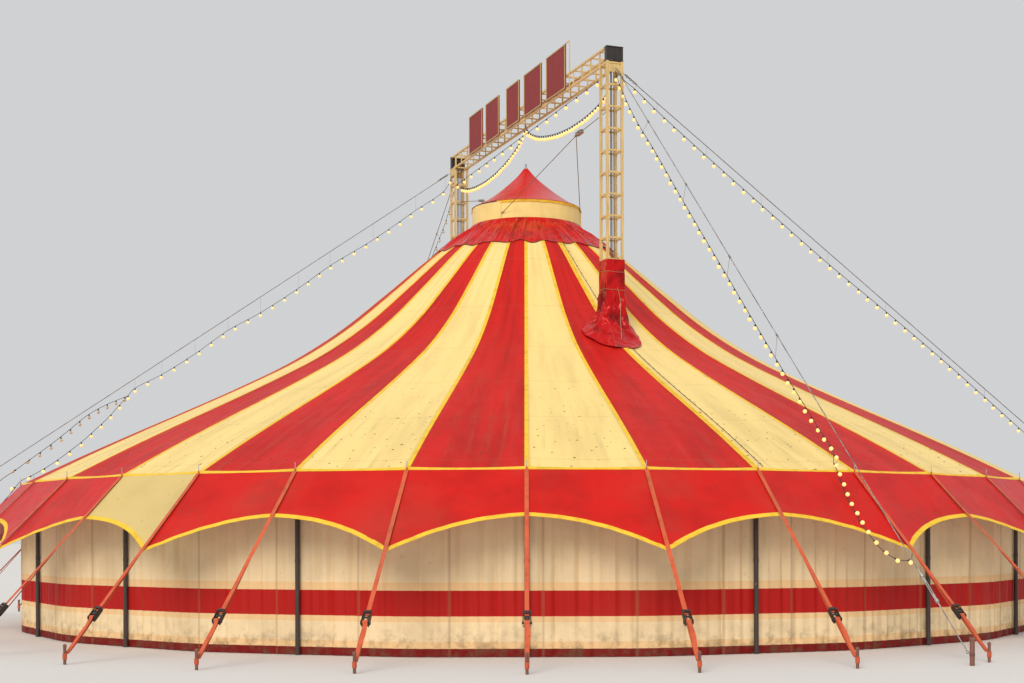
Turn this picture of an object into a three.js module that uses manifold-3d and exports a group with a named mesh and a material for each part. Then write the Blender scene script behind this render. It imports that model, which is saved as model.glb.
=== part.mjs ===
// A striped circus big top: a round canopy of 36 bays, hung from a ring that two lattice masts
// and the truss between their heads carry, with valance, side walls, side poles, straps, mast
// guys, a lantern over the ring, blank sign boards and strings of lights.
// Millimetres, +Z up, the origin on the ground under the middle of the ring.
// An azimuth is counted in degrees from -Y, where the front is, towards +X.
import * as THREE from 'three';
import { mergeVertices } from 'three/addons/utils/BufferGeometryUtils.js';
import Module from 'manifold-3d';

const wasm = await Module();
wasm.setup();

// Driving dimensions of the canopy and its edge
const BAYS = 36;
const EAVE_RADIUS = 11000;
const EAVE_HEIGHT = 3000;
const CLOTH = 14; // thickness of every cloth solid
const GAP = 0.4; // clearance between pieces that bear on each other
const BEYOND = 40000; // farther than any piece reaches
const LACED_SEAM = 20; // azimuth of the seam where the two canopy halves are laced
const CANOPY_LINE = [ // radius and height of the canopy's upper side, from the ring to the eave
  [1215.4, 8905],
  [2200, 8200],
  [3300, 7270],
  [4400, 6375],
  [5500, 5660],
  [6600, 5095],
  [7700, 4575],
  [8800, 4070],
  [9900, 3550],
  [EAVE_RADIUS, EAVE_HEIGHT],
];

// Valance: its corners hang at the odd seams, its arches rise to the even ones
const VALANCE_TOP = EAVE_HEIGHT - CLOTH - GAP;
const CORNER_RADIUS = 12320;
const CORNER_HEIGHT = 1700;
const ARCH_HEIGHT = 2240;
const ARCH_ROUNDNESS = 2.2; // power of the arch's curve
const ARCH_CHORDS = 11; // an odd number keeps the arch's corners off the seam that it crosses
const CORNER_HALF_WIDTH = 30;

// Side poles and walls
const POLE_RADIUS = 45;
const POLE_CIRCLE = 10940;
const POLE_SIDES = 8;
const WALL_TOP = 2860;
const WALL_ROPE = { height: 2925, side: 18 };

// Straps, stakes and the eave band
const STAKE_CIRCLE = 14000;
const STAKE = { radius: 29, height: 310, sides: 6 };
const STRAP = { width: 50, thickness: 8, foot: 120 };
const RATCHET = { width: 110, thickness: 70, length: 260, along: 0.8 };
const EAVE_BAND = { thickness: 8, bottom: 2989, height: 30 };
const EAVE_PIN = { side: 14, bottom: 2996.5, top: 3140, outwards: 12 };

// Masts, their heads, feet and boots
const MAST_AZIMUTH = 21;
const MAST_CIRCLE = 4780;
const MAST = { spacing: 320, leg: 50, rung: 34, cell: 435, cells: 26, above: 55, plate: 12 };
const MAST_HALF = (MAST.spacing + MAST.leg) / 2;
const FOOT = { side: 700, thickness: 15 };
const MAST_BOTTOM = FOOT.thickness + GAP;
const MAST_TOP = MAST_BOTTOM + MAST.cell * MAST.cells + MAST.above;
const HEAD = { depth: 120, height: 300 };
const MAST_HOLE_HALF = 200;
const BOOT_CLOTH = 12;
const BOOT_LINE = [ // half width and height of the boot's outer side
  [197.6, 7430],
  [199, 6900],
  [235, 6450],
  [340, 6080],
  [540, 5650],
  [640, 5300],
];

// Ridge truss between the mast heads
const TRUSS = { bottom: 11325, depth: 350, chord: 40, rung: 30, cells: 10 };

// Sign boards: where each one starts and ends along the truss, as shares of the mast distance
const BOARDS = [[0.2, 0.312], [0.345, 0.454], [0.488, 0.574], [0.629, 0.724], [0.751, 0.852]];
const BOARD = { bottom: 11370, top: 12310, thickness: 40 };

// Lantern over the ring
const RING = { radius: 1215, width: 50, bottom: 8865, height: 60 };
const BAND = { bottom: 8930, top: 9365, thickness: 10 };
const ROOF_LINE = [ // radius and height of the lantern roof's upper side
  [21.5, 10335],
  [180, 10130],
  [620, 9735],
  [1245, 9364.2],
];
const LANTERN_POSTS = 8;
const LANTERN_BAR = 30;
const FINIAL = { radius: 20, top: 10425, sides: 8 };
const SKIRT_EDGE = 2180;
const SKIRT_TOP = 8970;

// Mast guys, which are mirrored through the middle of the tent
const GUY = { radius: 9, top: 11240, foot: 160, sides: 8 };
const SHACKLE = { width: 70, depth: 60, height: 130 };
const MAST_PLATE_HEIGHT = 160; // plates on the mast that the shackles hang on
const TENSIONER = { radius: 35, length: 700, fromEnd: 900 };
const ANCHOR = { radius: 45, height: 420, sides: 8 };
const EYE = { width: 60, depth: 34, height: 90 }; // ring by which a rope holds on
const SIDE_ANCHOR = [16830, 1230];
const END_ANCHOR = [6578, -12705];

// Strings of lights
const CORD_RADIUS = 6;
const CORD_SIDES = 8;
const STRING_STEPS = 56;
const STRING_TOP = GUY.top - SHACKLE.height / 2 - 0.5; // under the guy's shackle
const STRING_BEND = STRING_TOP - 45; // straight below its start
const RIGHT_DROPS = [ // shares of the guy, and how far below it the string hangs there
  [0.02, 110],
  [0.05, 160],
  [0.12, 205],
  [0.2, 225],
  [0.3, 240],
  [0.39, 190],
  [0.48, 165],
  [0.55, 180],
  [0.62, 205],
  [0.7, 190],
  [0.79, 110],
  [0.88, 19],
];
const LEFT_DROPS = [
  [0.01, 330],
  [0.06, 365],
  [0.13, 405],
  [0.2, 350],
  [0.25, 395],
  [0.31, 385],
  [0.36, 300],
  [0.41, 345],
  [0.46, 320],
  [0.5, 230],
];
const LEFT_STRING = [ // from the guy down to the eave
  [-9446, 1250, 5240],
  [-9541, 700, 4930],
  [-9632, 150, 4630],
  [-9742, -400, 4353],
  [-9844, -950, 4088],
  [-9961, -1500, 3841],
  [-10079, -2000, 3620],
  [-10204, -2500, 3414],
  [-10340, -3000, 3229],
];
const FRONT_STRING = [ // from the shackle on the mast down to the eave
  [1790, -4664, STRING_TOP],
  [1790, -4664, STRING_BEND],
  [2082, -5165, 10203],
  [2474, -5666, 9342],
  [2841, -6168, 8498],
  [3206, -6669, 7669],
  [3570, -7170, 6857],
  [3922, -7671, 6061],
  [4268, -8172, 5280],
  [4614, -8674, 4516],
  [4964, -9175, 3767],
  [5159, -9476, 3326],
];
const STRING_END = [ // degrees beside the corner's seam, radius and height
  [-2.1, 10960, 3115],
  [-2.2, 11040, 3055],
  [-2.3, 11108, 2962],
  [-2.4, 11200, 2840],
  [-2.7, 11425, 2572],
  [-2.9, 11675, 2332],
  [-3.05, 11895, 2115],
  [-2.95, 12075, 1935],
  [-2.6, 12165, 1777],
  [-2, 12240, 1640],
  [-1.3, 12315, 1545],
  [-0.65, 12370, 1520],
  [-0.25, 12405, 1560],
  [-0.2, 12412, 1640],
];
const RIDGE_STRING = { front: 11090, back: 10880 };
const SWAG_STEPS = 16;
const SWAG = [ // across the truss, along it from the front mast to the middle, and height
  [0, -4616, 10896.6],
  [0, -4610, 10866],
  [0, -4400, 10790],
  [0, -4000, 10700],
  [0, -3500, 10645],
  [0, -3000, 10625],
  [0, -2500, 10630],
  [0, -2000, 10665],
  [0, -1500, 10730],
  [0, -1000, 10825],
  [0, -600, 10935],
  [0, -250, 11080],
  [0, -60, 11215],
  [0, -10, 11290],
  [0, -8, 11329.5],
];

// Hoist ropes of the ring
const HOIST = { radius: 7, sides: 6, mastHeight: 10480 };
const BLOCK = { side: 110, height: 260, place: [1115, -3300, 10290] };
const FRONT_LEG = { azimuth: -25, height: 9085 };
const SIDE_LEG = { azimuth: 85, height: 9300 };

const FINISHES = {
  redCloth: { color: 0xc3120c, roughness: 0.45, metalness: 0 },
  creamCloth: { color: 0xf3d58a, roughness: 0.5, metalness: 0 },
  bootCloth: { color: 0x8e0a0a, roughness: 0.25, metalness: 0 },
  mastPaint: { color: 0xd9b063, roughness: 0.45, metalness: 0.4 },
  blackPaint: { color: 0x161412, roughness: 0.5, metalness: 0.3 },
  galvanised: { color: 0x8b8a85, roughness: 0.5, metalness: 0.8 },
  webbing: { color: 0xc2371a, roughness: 0.8, metalness: 0 },
  rope: { color: 0x3a3027, roughness: 0.9, metalness: 0 },
  cord: { color: 0x1b1713, roughness: 0.6, metalness: 0 },
  signRed: { color: 0x9e1210, roughness: 0.5, metalness: 0 },
};

const materials = Object.fromEntries(
  Object.entries(FINISHES).map(([name, finish]) => [name, new THREE.MeshStandardMaterial(finish)]),
);

const radians = (degrees) => THREE.MathUtils.degToRad(degrees);

// Point at an azimuth and radius, seen from above.
function around(azimuth, radius) {
  const a = radians(azimuth);
  return new THREE.Vector2(radius * Math.sin(a), -radius * Math.cos(a));
}

function point(azimuth, radius, height) {
  const p = around(azimuth, radius);
  return new THREE.Vector3(p.x, p.y, height);
}

// Closed geometry as a solid for joining and cutting.
function solid(geometry) {
  const bare = geometry.clone();
  bare.deleteAttribute('normal');
  bare.deleteAttribute('uv');
  const merged = mergeVertices(bare, 1e-3);
  return new wasm.Manifold(new wasm.Mesh({
    numProp: 3,
    vertProperties: new Float32Array(merged.attributes.position.array),
    triVerts: new Uint32Array(merged.index.array),
  }));
}

function join(solids) {
  return solids.reduce((whole, next) => whole.add(next));
}

// Named mesh of a solid, in the frame that the solid was made in.
function meshOf(name, made, material) {
  const { vertProperties, triVerts, numProp } = made.getMesh();
  const positions = new Float32Array((vertProperties.length / numProp) * 3);
  for (let i = 0; i < positions.length / 3; i += 1) {
    positions.set(vertProperties.subarray(i * numProp, i * numProp + 3), i * 3);
  }
  const geometry = new THREE.BufferGeometry();
  geometry.setAttribute('position', new THREE.BufferAttribute(positions, 3));
  geometry.setIndex(new THREE.BufferAttribute(new Uint32Array(triVerts), 1));
  geometry.computeVertexNormals();
  const mesh = new THREE.Mesh(geometry, material);
  mesh.name = name;
  return mesh;
}

// Box of a size, standing with its middle at a place.
function box(size, place) {
  return new THREE.BoxGeometry(...size).translate(...place);
}

// Turned body about the Y axis, from an outline of radii and distances along the axis.
function lathe(outline, sides) {
  const points = outline.map(([radius, distance]) => new THREE.Vector2(radius, distance));
  return new THREE.LatheGeometry(points, sides);
}

// Turn that aims +Y from one point at another.
function aimed(from, to) {
  const line = new THREE.Vector3().subVectors(to, from).normalize();
  return new THREE.Quaternion().setFromUnitVectors(new THREE.Vector3(0, 1, 0), line);
}

// Bar of few sides between two points.
function bar(from, to, radius, sides) {
  const length = from.distanceTo(to);
  return lathe([[0, 0], [radius, 0], [radius, length], [0, length]], sides)
    .applyQuaternion(aimed(from, to))
    .translate(from.x, from.y, from.z);
}

// Flat bar whose width lies across a radial plane, between two points given as radius and height.
function webbing(azimuth, from, to, width, thickness) {
  const run = to[0] - from[0];
  const drop = to[1] - from[1];
  return new THREE.BoxGeometry(width, Math.hypot(run, drop), thickness)
    .rotateX(Math.atan2(drop, -run))
    .translate(0, -(from[0] + to[0]) / 2, (from[1] + to[1]) / 2)
    .rotateZ(radians(azimuth));
}

// Turned body about the Z axis; azimuths of its corners start at -Y.
function turned(outline, sides) {
  return lathe(outline, sides).rotateX(Math.PI / 2);
}

// Closed outline of a thin shell under a line of radii and heights, running from the bottom up.
function shellOutline(line, thickness) {
  const upper = [...line].sort((a, b) => a[1] - b[1]);
  const lower = upper.map(([radius, height]) => [radius, height - thickness]).reverse();
  return [...upper, ...lower, upper[0]];
}

// Height of the canopy's upper side at a radius on a seam.
function canopyHeight(radius) {
  const next = CANOPY_LINE.findIndex(([r]) => r >= radius);
  const [r1, z1] = CANOPY_LINE[Math.max(next, 1)];
  const [r0, z0] = CANOPY_LINE[Math.max(next, 1) - 1];
  return z0 + ((z1 - z0) * (radius - r0)) / (r1 - r0);
}

// Upright wedge between two azimuths, set back from both by half a gap.
function sector(from, to) {
  const start = around(from, 1);
  const end = around(to, 1);
  const insideStart = around(from + 90, GAP / 2);
  const insideEnd = around(to - 90, GAP / 2);
  const overlap = 1 + insideStart.dot(insideEnd) / (GAP / 2) ** 2;
  const tip = insideStart.clone().add(insideEnd).divideScalar(overlap);
  const corner = (direction, share) => tip.clone().addScaledVector(direction, BEYOND * share);
  const outline = [
    tip,
    corner(start, 1),
    corner(around((from + to) / 2, 1), 2),
    corner(end, 1),
  ];
  return new THREE.ExtrudeGeometry(new THREE.Shape(outline), { depth: BEYOND, bevelEnabled: false });
}

// Four quarters of the tent, named by where they stand, and the azimuths between which they lie
const QUARTERS = ['right', 'back', 'left', 'front'].map((name, i) => ({
  name,
  first: LACED_SEAM + i * 90,
  last: LACED_SEAM + (i + 1) * 90,
}));
const BAY = 360 / BAYS;
const BAYS_IN_QUARTER = BAYS / QUARTERS.length;

const mastPlace = (turn) => around(MAST_AZIMUTH + turn, MAST_CIRCLE);

// Geometry of the mast's own frame, set where the mast stands.
function atMast(geometry, turn) {
  const { x, y } = mastPlace(turn);
  return geometry.rotateZ(radians(MAST_AZIMUTH + turn)).translate(x, y, 0);
}

// Mesh of the mast's own frame, set where the mast stands.
function placedAtMast(mesh, turn) {
  const { x, y } = mastPlace(turn);
  mesh.rotation.z = radians(MAST_AZIMUTH + turn);
  mesh.position.set(x, y, 0);
  return mesh;
}

// Canopy: a turned shell with one flat facet to each bay, cut along the laced seam and at the masts
function canopyHalves() {
  const shell = solid(turned(shellOutline(CANOPY_LINE, CLOTH), BAYS));
  const width = 2 * MAST_HOLE_HALF;
  const height = CANOPY_LINE[0][1];
  const holes = [0, 180].map((turn) => solid(atMast(box([width, width, height], [0, 0, height]), turn)));
  const whole = shell.subtract(join(holes));
  return [['canopy_right_half', LACED_SEAM], ['canopy_left_half', LACED_SEAM + 180]].map(
    ([name, from]) => meshOf(
      name,
      whole.intersect(solid(sector(from, from + 180))),
      materials.creamCloth,
    ),
  );
}

// Arch that the valance leaves open between two corners, as an upright prism across it.
function archOpening(azimuth) {
  const half = CORNER_RADIUS * Math.sin(radians(BAY)) - CORNER_HALF_WIDTH;
  const rise = ARCH_HEIGHT - CORNER_HEIGHT;
  const shape = new THREE.Shape();
  shape.moveTo(-half, CORNER_HEIGHT - CLOTH);
  for (let i = -ARCH_CHORDS; i <= ARCH_CHORDS; i += 2) {
    const share = i / ARCH_CHORDS;
    shape.lineTo(half * share, ARCH_HEIGHT - rise * Math.abs(share) ** ARCH_ROUNDNESS);
  }
  shape.lineTo(half, CORNER_HEIGHT - CLOTH);
  const nearest = EAVE_RADIUS / 2;
  return new THREE.ExtrudeGeometry(shape, { depth: CORNER_RADIUS, bevelEnabled: false })
    .rotateX(Math.PI / 2)
    .translate(0, -nearest, 0)
    .rotateZ(radians(azimuth));
}

// Valance: a turned shell below the eave, with an arch cut out at every even seam
function valances() {
  const outline = [
    [CORNER_RADIUS, CORNER_HEIGHT],
    [EAVE_RADIUS, VALANCE_TOP],
    [EAVE_RADIUS - CLOTH, VALANCE_TOP],
    [CORNER_RADIUS - CLOTH, CORNER_HEIGHT],
    [CORNER_RADIUS, CORNER_HEIGHT],
  ];
  let ring = solid(turned(outline, BAYS));
  for (let k = 0; k < BAYS; k += 2) {
    ring = ring.subtract(solid(archOpening(k * BAY)));
  }
  return QUARTERS.map(({ name, first, last }) => meshOf(
    `valance_${name}`,
    ring.intersect(solid(sector(first, last))),
    materials.redCloth,
  ));
}

// Line of a side wall: it passes inside the poles of the even seams and outside those of the odd ones
function wallLine(offset) {
  const line = [];
  for (let k = 0; k < BAYS; k += 1) {
    const side = k % 2 === 0 ? -1 : 1;
    const clear = POLE_RADIUS + GAP + CLOTH / 2;
    line.push(around(k * BAY, POLE_CIRCLE + side * clear + offset));
  }
  return line;
}

function sideWalls() {
  const shape = new THREE.Shape(wallLine(CLOTH / 2));
  shape.holes.push(new THREE.Path(wallLine(-CLOTH / 2)));
  const ring = solid(new THREE.ExtrudeGeometry(shape, { depth: WALL_TOP, bevelEnabled: false }));
  return QUARTERS.map(({ name, first, last }) => meshOf(
    `side_wall_${name}`,
    ring.intersect(solid(sector(first, last))),
    materials.creamCloth,
  ));
}

// Side poles of a quarter, joined by the rope that the wall hangs from
function sidePoles({ name, first }) {
  const poleTop = canopyHeight(POLE_CIRCLE + POLE_RADIUS) - CLOTH - GAP;
  const parts = [];
  for (let i = 0; i < BAYS_IN_QUARTER; i += 1) {
    const azimuth = first + i * BAY;
    const foot = around(azimuth, POLE_CIRCLE);
    const pole = new THREE.CylinderGeometry(POLE_RADIUS, POLE_RADIUS, poleTop, POLE_SIDES)
      .rotateX(Math.PI / 2)
      .rotateZ(radians(azimuth))
      .translate(foot.x, foot.y, poleTop / 2);
    parts.push(solid(pole));
    const next = around(azimuth + BAY, POLE_CIRCLE);
    const span = next.clone().sub(foot);
    const isLast = i === BAYS_IN_QUARTER - 1;
    const length = span.length() - (isLast ? POLE_RADIUS + GAP : 0);
    const rope = new THREE.BoxGeometry(length, WALL_ROPE.side, WALL_ROPE.side)
      .translate(length / 2, 0, 0)
      .rotateZ(span.angle())
      .translate(foot.x, foot.y, WALL_ROPE.height);
    parts.push(solid(rope));
  }
  return meshOf(`side_poles_${name}`, join(parts), materials.galvanised);
}

// Stake that stands in the ground, with a flat of its side towards -Y
function stake({ radius, height, sides }) {
  return new THREE.CylinderGeometry(radius, radius, height, sides)
    .rotateX(Math.PI / 2)
    .rotateZ(Math.PI / sides)
    .translate(0, 0, height / 2);
}

// Straps of a quarter with their pins, ratchets and stakes, joined by the band along the eave
function straps({ name, first, last }) {
  const top = [EAVE_RADIUS + EAVE_PIN.outwards, EAVE_HEIGHT];
  const foot = [STAKE_CIRCLE, STRAP.foot];
  const along = (share) => [
    THREE.MathUtils.lerp(top[0], foot[0], share),
    THREE.MathUtils.lerp(top[1], foot[1], share),
  ];
  const half = RATCHET.length / 2 / Math.hypot(foot[0] - top[0], foot[1] - top[1]);
  const { thickness, bottom, height } = EAVE_BAND;
  const inner = EAVE_RADIUS + GAP;
  const band = turned([
    [inner, bottom],
    [inner + thickness, bottom],
    [inner + thickness, bottom + height],
    [inner, bottom + height],
    [inner, bottom],
  ], BAYS);
  // The band runs half a bay past the last strap on both sides.
  const parts = [solid(band).intersect(solid(sector(first - BAY / 2, last - BAY / 2)))];
  for (let i = 0; i < BAYS_IN_QUARTER; i += 1) {
    const azimuth = first + i * BAY;
    const { x, y } = around(azimuth, STAKE_CIRCLE);
    parts.push(
      solid(webbing(azimuth, top, along(RATCHET.along), STRAP.width, STRAP.thickness)),
      solid(webbing(azimuth, along(RATCHET.along), foot, STRAP.width, STRAP.thickness)),
      solid(webbing(
        azimuth,
        along(RATCHET.along - half),
        along(RATCHET.along + half),
        RATCHET.width,
        RATCHET.thickness,
      )),
      solid(box(
        [EAVE_PIN.side, EAVE_PIN.side, EAVE_PIN.top - EAVE_PIN.bottom],
        [0, -EAVE_RADIUS - EAVE_PIN.outwards, (EAVE_PIN.top + EAVE_PIN.bottom) / 2],
      ).rotateZ(radians(azimuth))),
      solid(stake(STAKE).rotateZ(radians(azimuth)).translate(x, y, 0)),
    );
  }
  return meshOf(`straps_${name}`, join(parts), materials.webbing);
}

// Mast: four square legs with a ring of rungs at each level and plates where the guys hold
function mast(end, turn) {
  const { spacing, leg, rung, cell, cells, plate } = MAST;
  const half = spacing / 2;
  const height = MAST_TOP - MAST_BOTTOM;
  const parts = [];
  for (const [sx, sy] of [[1, 1], [1, -1], [-1, -1], [-1, 1]]) {
    parts.push(solid(box([leg, leg, height], [sx * half, sy * half, MAST_BOTTOM + height / 2])));
  }
  for (let i = 0; i <= cells; i += 1) {
    const z = MAST_BOTTOM + leg / 2 + i * cell;
    for (const side of [-half, half]) {
      parts.push(solid(box([spacing, rung, rung], [0, side, z])));
      parts.push(solid(box([rung, spacing, rung], [side, 0, z])));
    }
  }
  const plateMiddle = MAST_HALF - plate / 2;
  parts.push(solid(box([plate, spacing, MAST_PLATE_HEIGHT], [plateMiddle, 0, GUY.top])));
  parts.push(solid(box([spacing, plate, MAST_PLATE_HEIGHT], [0, -plateMiddle, GUY.top])));
  return placedAtMast(meshOf(`${end}_mast`, join(parts), materials.mastPaint), turn);
}

// Head: a housing along the outer side of the mast's top
function mastHead(end, turn) {
  const { depth, height } = HEAD;
  const place = [0, depth / 2 - MAST_HALF, MAST_TOP + GAP + height / 2];
  const geometry = box([2 * MAST_HALF, depth, height], place);
  return placedAtMast(meshOf(`${end}_mast_head`, solid(geometry), materials.blackPaint), turn);
}

function mastFoot(end, turn) {
  const geometry = box([FOOT.side, FOOT.side, FOOT.thickness], [0, 0, FOOT.thickness / 2]);
  return placedAtMast(meshOf(`${end}_mast_foot`, solid(geometry), materials.galvanised), turn);
}

// Boot: a square sleeve round the mast that flares out and ends on the canopy's slope
function mastBoot(end, turn) {
  const corner = Math.SQRT2;
  const outer = BOOT_LINE.map(([half, height]) => [half * corner, height]).reverse();
  const inner = BOOT_LINE.map(([half, height]) => [(half - BOOT_CLOTH) * corner, height]);
  const sleeve = turned([...outer, ...inner, outer[0]], 4).rotateZ(Math.PI / 4);
  const under = CANOPY_LINE.map(([radius, height]) => [radius, height + GAP]).reverse();
  const slope = turned([[0, EAVE_HEIGHT], ...under, [0, CANOPY_LINE[0][1] + GAP]], BAYS);
  const boot = solid(atMast(sleeve, turn)).subtract(solid(slope));
  return meshOf(`${end}_mast_boot`, boot, materials.bootCloth);
}

// Truss: four chords with a ring of rungs at each station. The lower chords end at the masts' legs,
// the upper ones pass over the masts to their heads.
function ridgeTruss() {
  const { bottom, depth, chord, rung, cells } = TRUSS;
  const length = 2 * (MAST_CIRCLE - MAST_HALF - GAP);
  const upperLength = 2 * (MAST_CIRCLE + MAST_HALF - HEAD.depth - GAP);
  const halfWidth = MAST.spacing / 2;
  const low = bottom + chord / 2;
  const high = bottom + depth - chord / 2;
  const parts = [];
  for (const x of [-halfWidth, halfWidth]) {
    parts.push(solid(box([chord, length, chord], [x, 0, low])));
    parts.push(solid(box([chord, upperLength, chord], [x, 0, high])));
  }
  for (const y of [-1, 1]) {
    parts.push(solid(box([2 * halfWidth, rung, rung], [0, (y * (upperLength - chord)) / 2, high])));
  }
  for (let i = 0; i <= cells; i += 1) {
    const y = (i / cells - 0.5) * (length - chord);
    for (const z of [low, high]) {
      parts.push(solid(box([2 * halfWidth, rung, rung], [0, y, z])));
    }
    for (const x of [-halfWidth, halfWidth]) {
      parts.push(solid(box([rung, rung, high - low], [x, y, (low + high) / 2])));
    }
  }
  const mesh = meshOf('ridge_truss', join(parts), materials.mastPaint);
  mesh.rotation.z = radians(MAST_AZIMUTH);
  return mesh;
}

// Blank sign boards, which stand against the truss's left side
function signBoards() {
  const face = -(MAST.spacing + TRUSS.chord) / 2 - GAP - BOARD.thickness / 2;
  return BOARDS.map(([start, end], i) => {
    const length = 2 * MAST_CIRCLE * (end - start);
    const middle = MAST_CIRCLE * (start + end - 1);
    const height = BOARD.top - BOARD.bottom;
    const geometry = box([BOARD.thickness, length, height], [face, middle, BOARD.bottom + height / 2]);
    const mesh = meshOf(`sign_board_${i + 1}`, solid(geometry), materials.signRed);
    mesh.rotation.z = radians(MAST_AZIMUTH);
    return mesh;
  });
}

// Lantern frame: two rings on posts, crossing bars and a middle post that ends in the finial
function lanternFrame() {
  const { radius, width, bottom, height } = RING;
  const ringAt = (low, high) => turned([
    [radius - width, low],
    [radius, low],
    [radius, high],
    [radius - width, high],
    [radius - width, low],
  ], BAYS);
  const middle = radius - width / 2;
  const parts = [solid(ringAt(bottom, bottom + height)), solid(ringAt(BAND.top - width, BAND.top))];
  for (let i = 0; i < LANTERN_POSTS; i += 1) {
    const post = box(
      [LANTERN_BAR, LANTERN_BAR, BAND.top - bottom - width],
      [0, -middle, (BAND.top + bottom) / 2],
    );
    parts.push(solid(post.rotateZ(radians((i * 360) / LANTERN_POSTS))));
  }
  for (const azimuth of [0, 90]) {
    const cross = box([LANTERN_BAR, 2 * middle, LANTERN_BAR], [0, 0, bottom + height / 2]);
    parts.push(solid(cross.rotateZ(radians(azimuth))));
  }
  const foot = new THREE.Vector3(0, 0, bottom + height / 2);
  const tip = new THREE.Vector3(0, 0, FINIAL.top);
  parts.push(solid(bar(foot, tip, FINIAL.radius, FINIAL.sides)));
  return meshOf('lantern_frame', join(parts), materials.galvanised);
}

function lanternBand() {
  const inner = RING.radius + GAP;
  const geometry = turned([
    [inner, BAND.bottom],
    [inner + BAND.thickness, BAND.bottom],
    [inner + BAND.thickness, BAND.top],
    [inner, BAND.top],
    [inner, BAND.bottom],
  ], BAYS);
  return meshOf('lantern_band', solid(geometry), materials.creamCloth);
}

function lanternRoof() {
  const shell = turned(shellOutline(ROOF_LINE, BAND.thickness), BAYS);
  return meshOf('lantern_roof', solid(shell), materials.redCloth);
}

// Gathered skirt that covers the join of lantern and canopy
function lanternSkirt() {
  const inner = RING.radius + BAND.thickness + 3 * GAP;
  const clear = canopyHeight(SKIRT_EDGE) + GAP;
  const outline = [
    [SKIRT_EDGE, clear],
    [SKIRT_EDGE, clear + CLOTH],
    [inner + CLOTH, canopyHeight(inner) + GAP + CLOTH],
    [inner + CLOTH, SKIRT_TOP],
    [inner, SKIRT_TOP],
    [inner, canopyHeight(inner) + GAP],
    [SKIRT_EDGE, clear],
  ];
  return meshOf('lantern_skirt', solid(turned(outline, BAYS)), materials.redCloth);
}

// Where a guy leaves its mast: sideways or in line with the truss
function guyTop(turn, sideways) {
  const out = MAST_HALF + GAP + SHACKLE.depth / 2;
  const local = sideways ? new THREE.Vector2(out, 0) : new THREE.Vector2(0, -out);
  local.rotateAround(new THREE.Vector2(), radians(MAST_AZIMUTH + turn));
  const { x, y } = mastPlace(turn).add(local);
  return new THREE.Vector3(x, y, GUY.top);
}

function anchorPlace(turn, sideways) {
  const [x, y] = sideways ? SIDE_ANCHOR : END_ANCHOR;
  const flip = turn === 0 ? 1 : -1;
  return new THREE.Vector3(flip * x, flip * y, GUY.foot);
}

// Turn about Z that sets a flat of an anchor towards the mast that its guy comes from.
function anchorTurn(turn, sideways) {
  const from = guyTop(turn, sideways);
  const to = anchorPlace(turn, sideways);
  return Math.atan2(from.x - to.x, to.y - from.y);
}

// Where a guy ends: in the eye against the flat of its anchor
function guyEnd(turn, sideways) {
  const flat = ANCHOR.radius * Math.cos(Math.PI / ANCHOR.sides);
  const reach = flat + GAP + EYE.depth / 2;
  const towards = anchorTurn(turn, sideways);
  return anchorPlace(turn, sideways)
    .add(new THREE.Vector3(reach * Math.sin(towards), -reach * Math.cos(towards), 0));
}

// Mast guy with the shackle on its mast and the tensioner near its anchor, along +Y of its frame
function guy(name, turn, sideways) {
  const from = guyTop(turn, sideways);
  const end = guyEnd(turn, sideways);
  const aim = aimed(from, end);
  const back = aim.clone().invert();
  const mastTurn = radians(MAST_AZIMUTH + turn + (sideways ? 90 : 0));
  const shackle = new THREE.BoxGeometry(SHACKLE.width, SHACKLE.depth, SHACKLE.height)
    .rotateZ(mastTurn)
    .applyQuaternion(back);
  const length = from.distanceTo(end);
  const eye = new THREE.BoxGeometry(EYE.width, EYE.depth, EYE.height)
    .rotateZ(anchorTurn(turn, sideways))
    .applyQuaternion(back)
    .translate(0, length, 0);
  const start = length - TENSIONER.fromEnd - TENSIONER.length;
  const cable = lathe([
    [0, 0],
    [GUY.radius, 0],
    [GUY.radius, start],
    [TENSIONER.radius, start],
    [TENSIONER.radius, start + TENSIONER.length],
    [GUY.radius, start + TENSIONER.length],
    [GUY.radius, length],
    [0, length],
  ], GUY.sides);
  const mesh = meshOf(name, join([cable, shackle, eye].map(solid)), materials.galvanised);
  mesh.quaternion.copy(aim);
  mesh.position.copy(from);
  return mesh;
}

function guyAnchor(name, turn, sideways) {
  const { x, y } = anchorPlace(turn, sideways);
  const mesh = meshOf(name, solid(stake(ANCHOR)), materials.galvanised);
  mesh.rotation.z = anchorTurn(turn, sideways);
  mesh.position.set(x, y, 0);
  return mesh;
}

// Points of a string of lights that starts under a side guy's shackle and hangs from the guy
function underGuy(turn, drops) {
  const from = guyTop(turn, true);
  const end = guyEnd(turn, true);
  const hung = drops.map(([share, drop]) => {
    const place = from.clone().lerp(end, share);
    return place.setZ(place.z - drop);
  });
  return [from.clone().setZ(STRING_TOP), from.clone().setZ(STRING_BEND), ...hung];
}

// Cord along a smooth curve through its points, with flat ends
function cord(name, points, steps) {
  const section = new THREE.Shape().absarc(0, 0, CORD_RADIUS, 0, 2 * Math.PI);
  const outline = new THREE.Shape(section.getPoints(CORD_SIDES / 4).slice(0, CORD_SIDES));
  const geometry = new THREE.ExtrudeGeometry(outline, {
    steps,
    curveSegments: 1,
    extrudePath: new THREE.CatmullRomCurve3(points),
  });
  return meshOf(name, solid(geometry), materials.cord);
}

// End of a hanging string, from the eave down over the valance to the strap at a corner
function stringEnd(azimuth) {
  return STRING_END.map(([beside, radius, height]) => point(azimuth + beside, radius, height));
}

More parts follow.
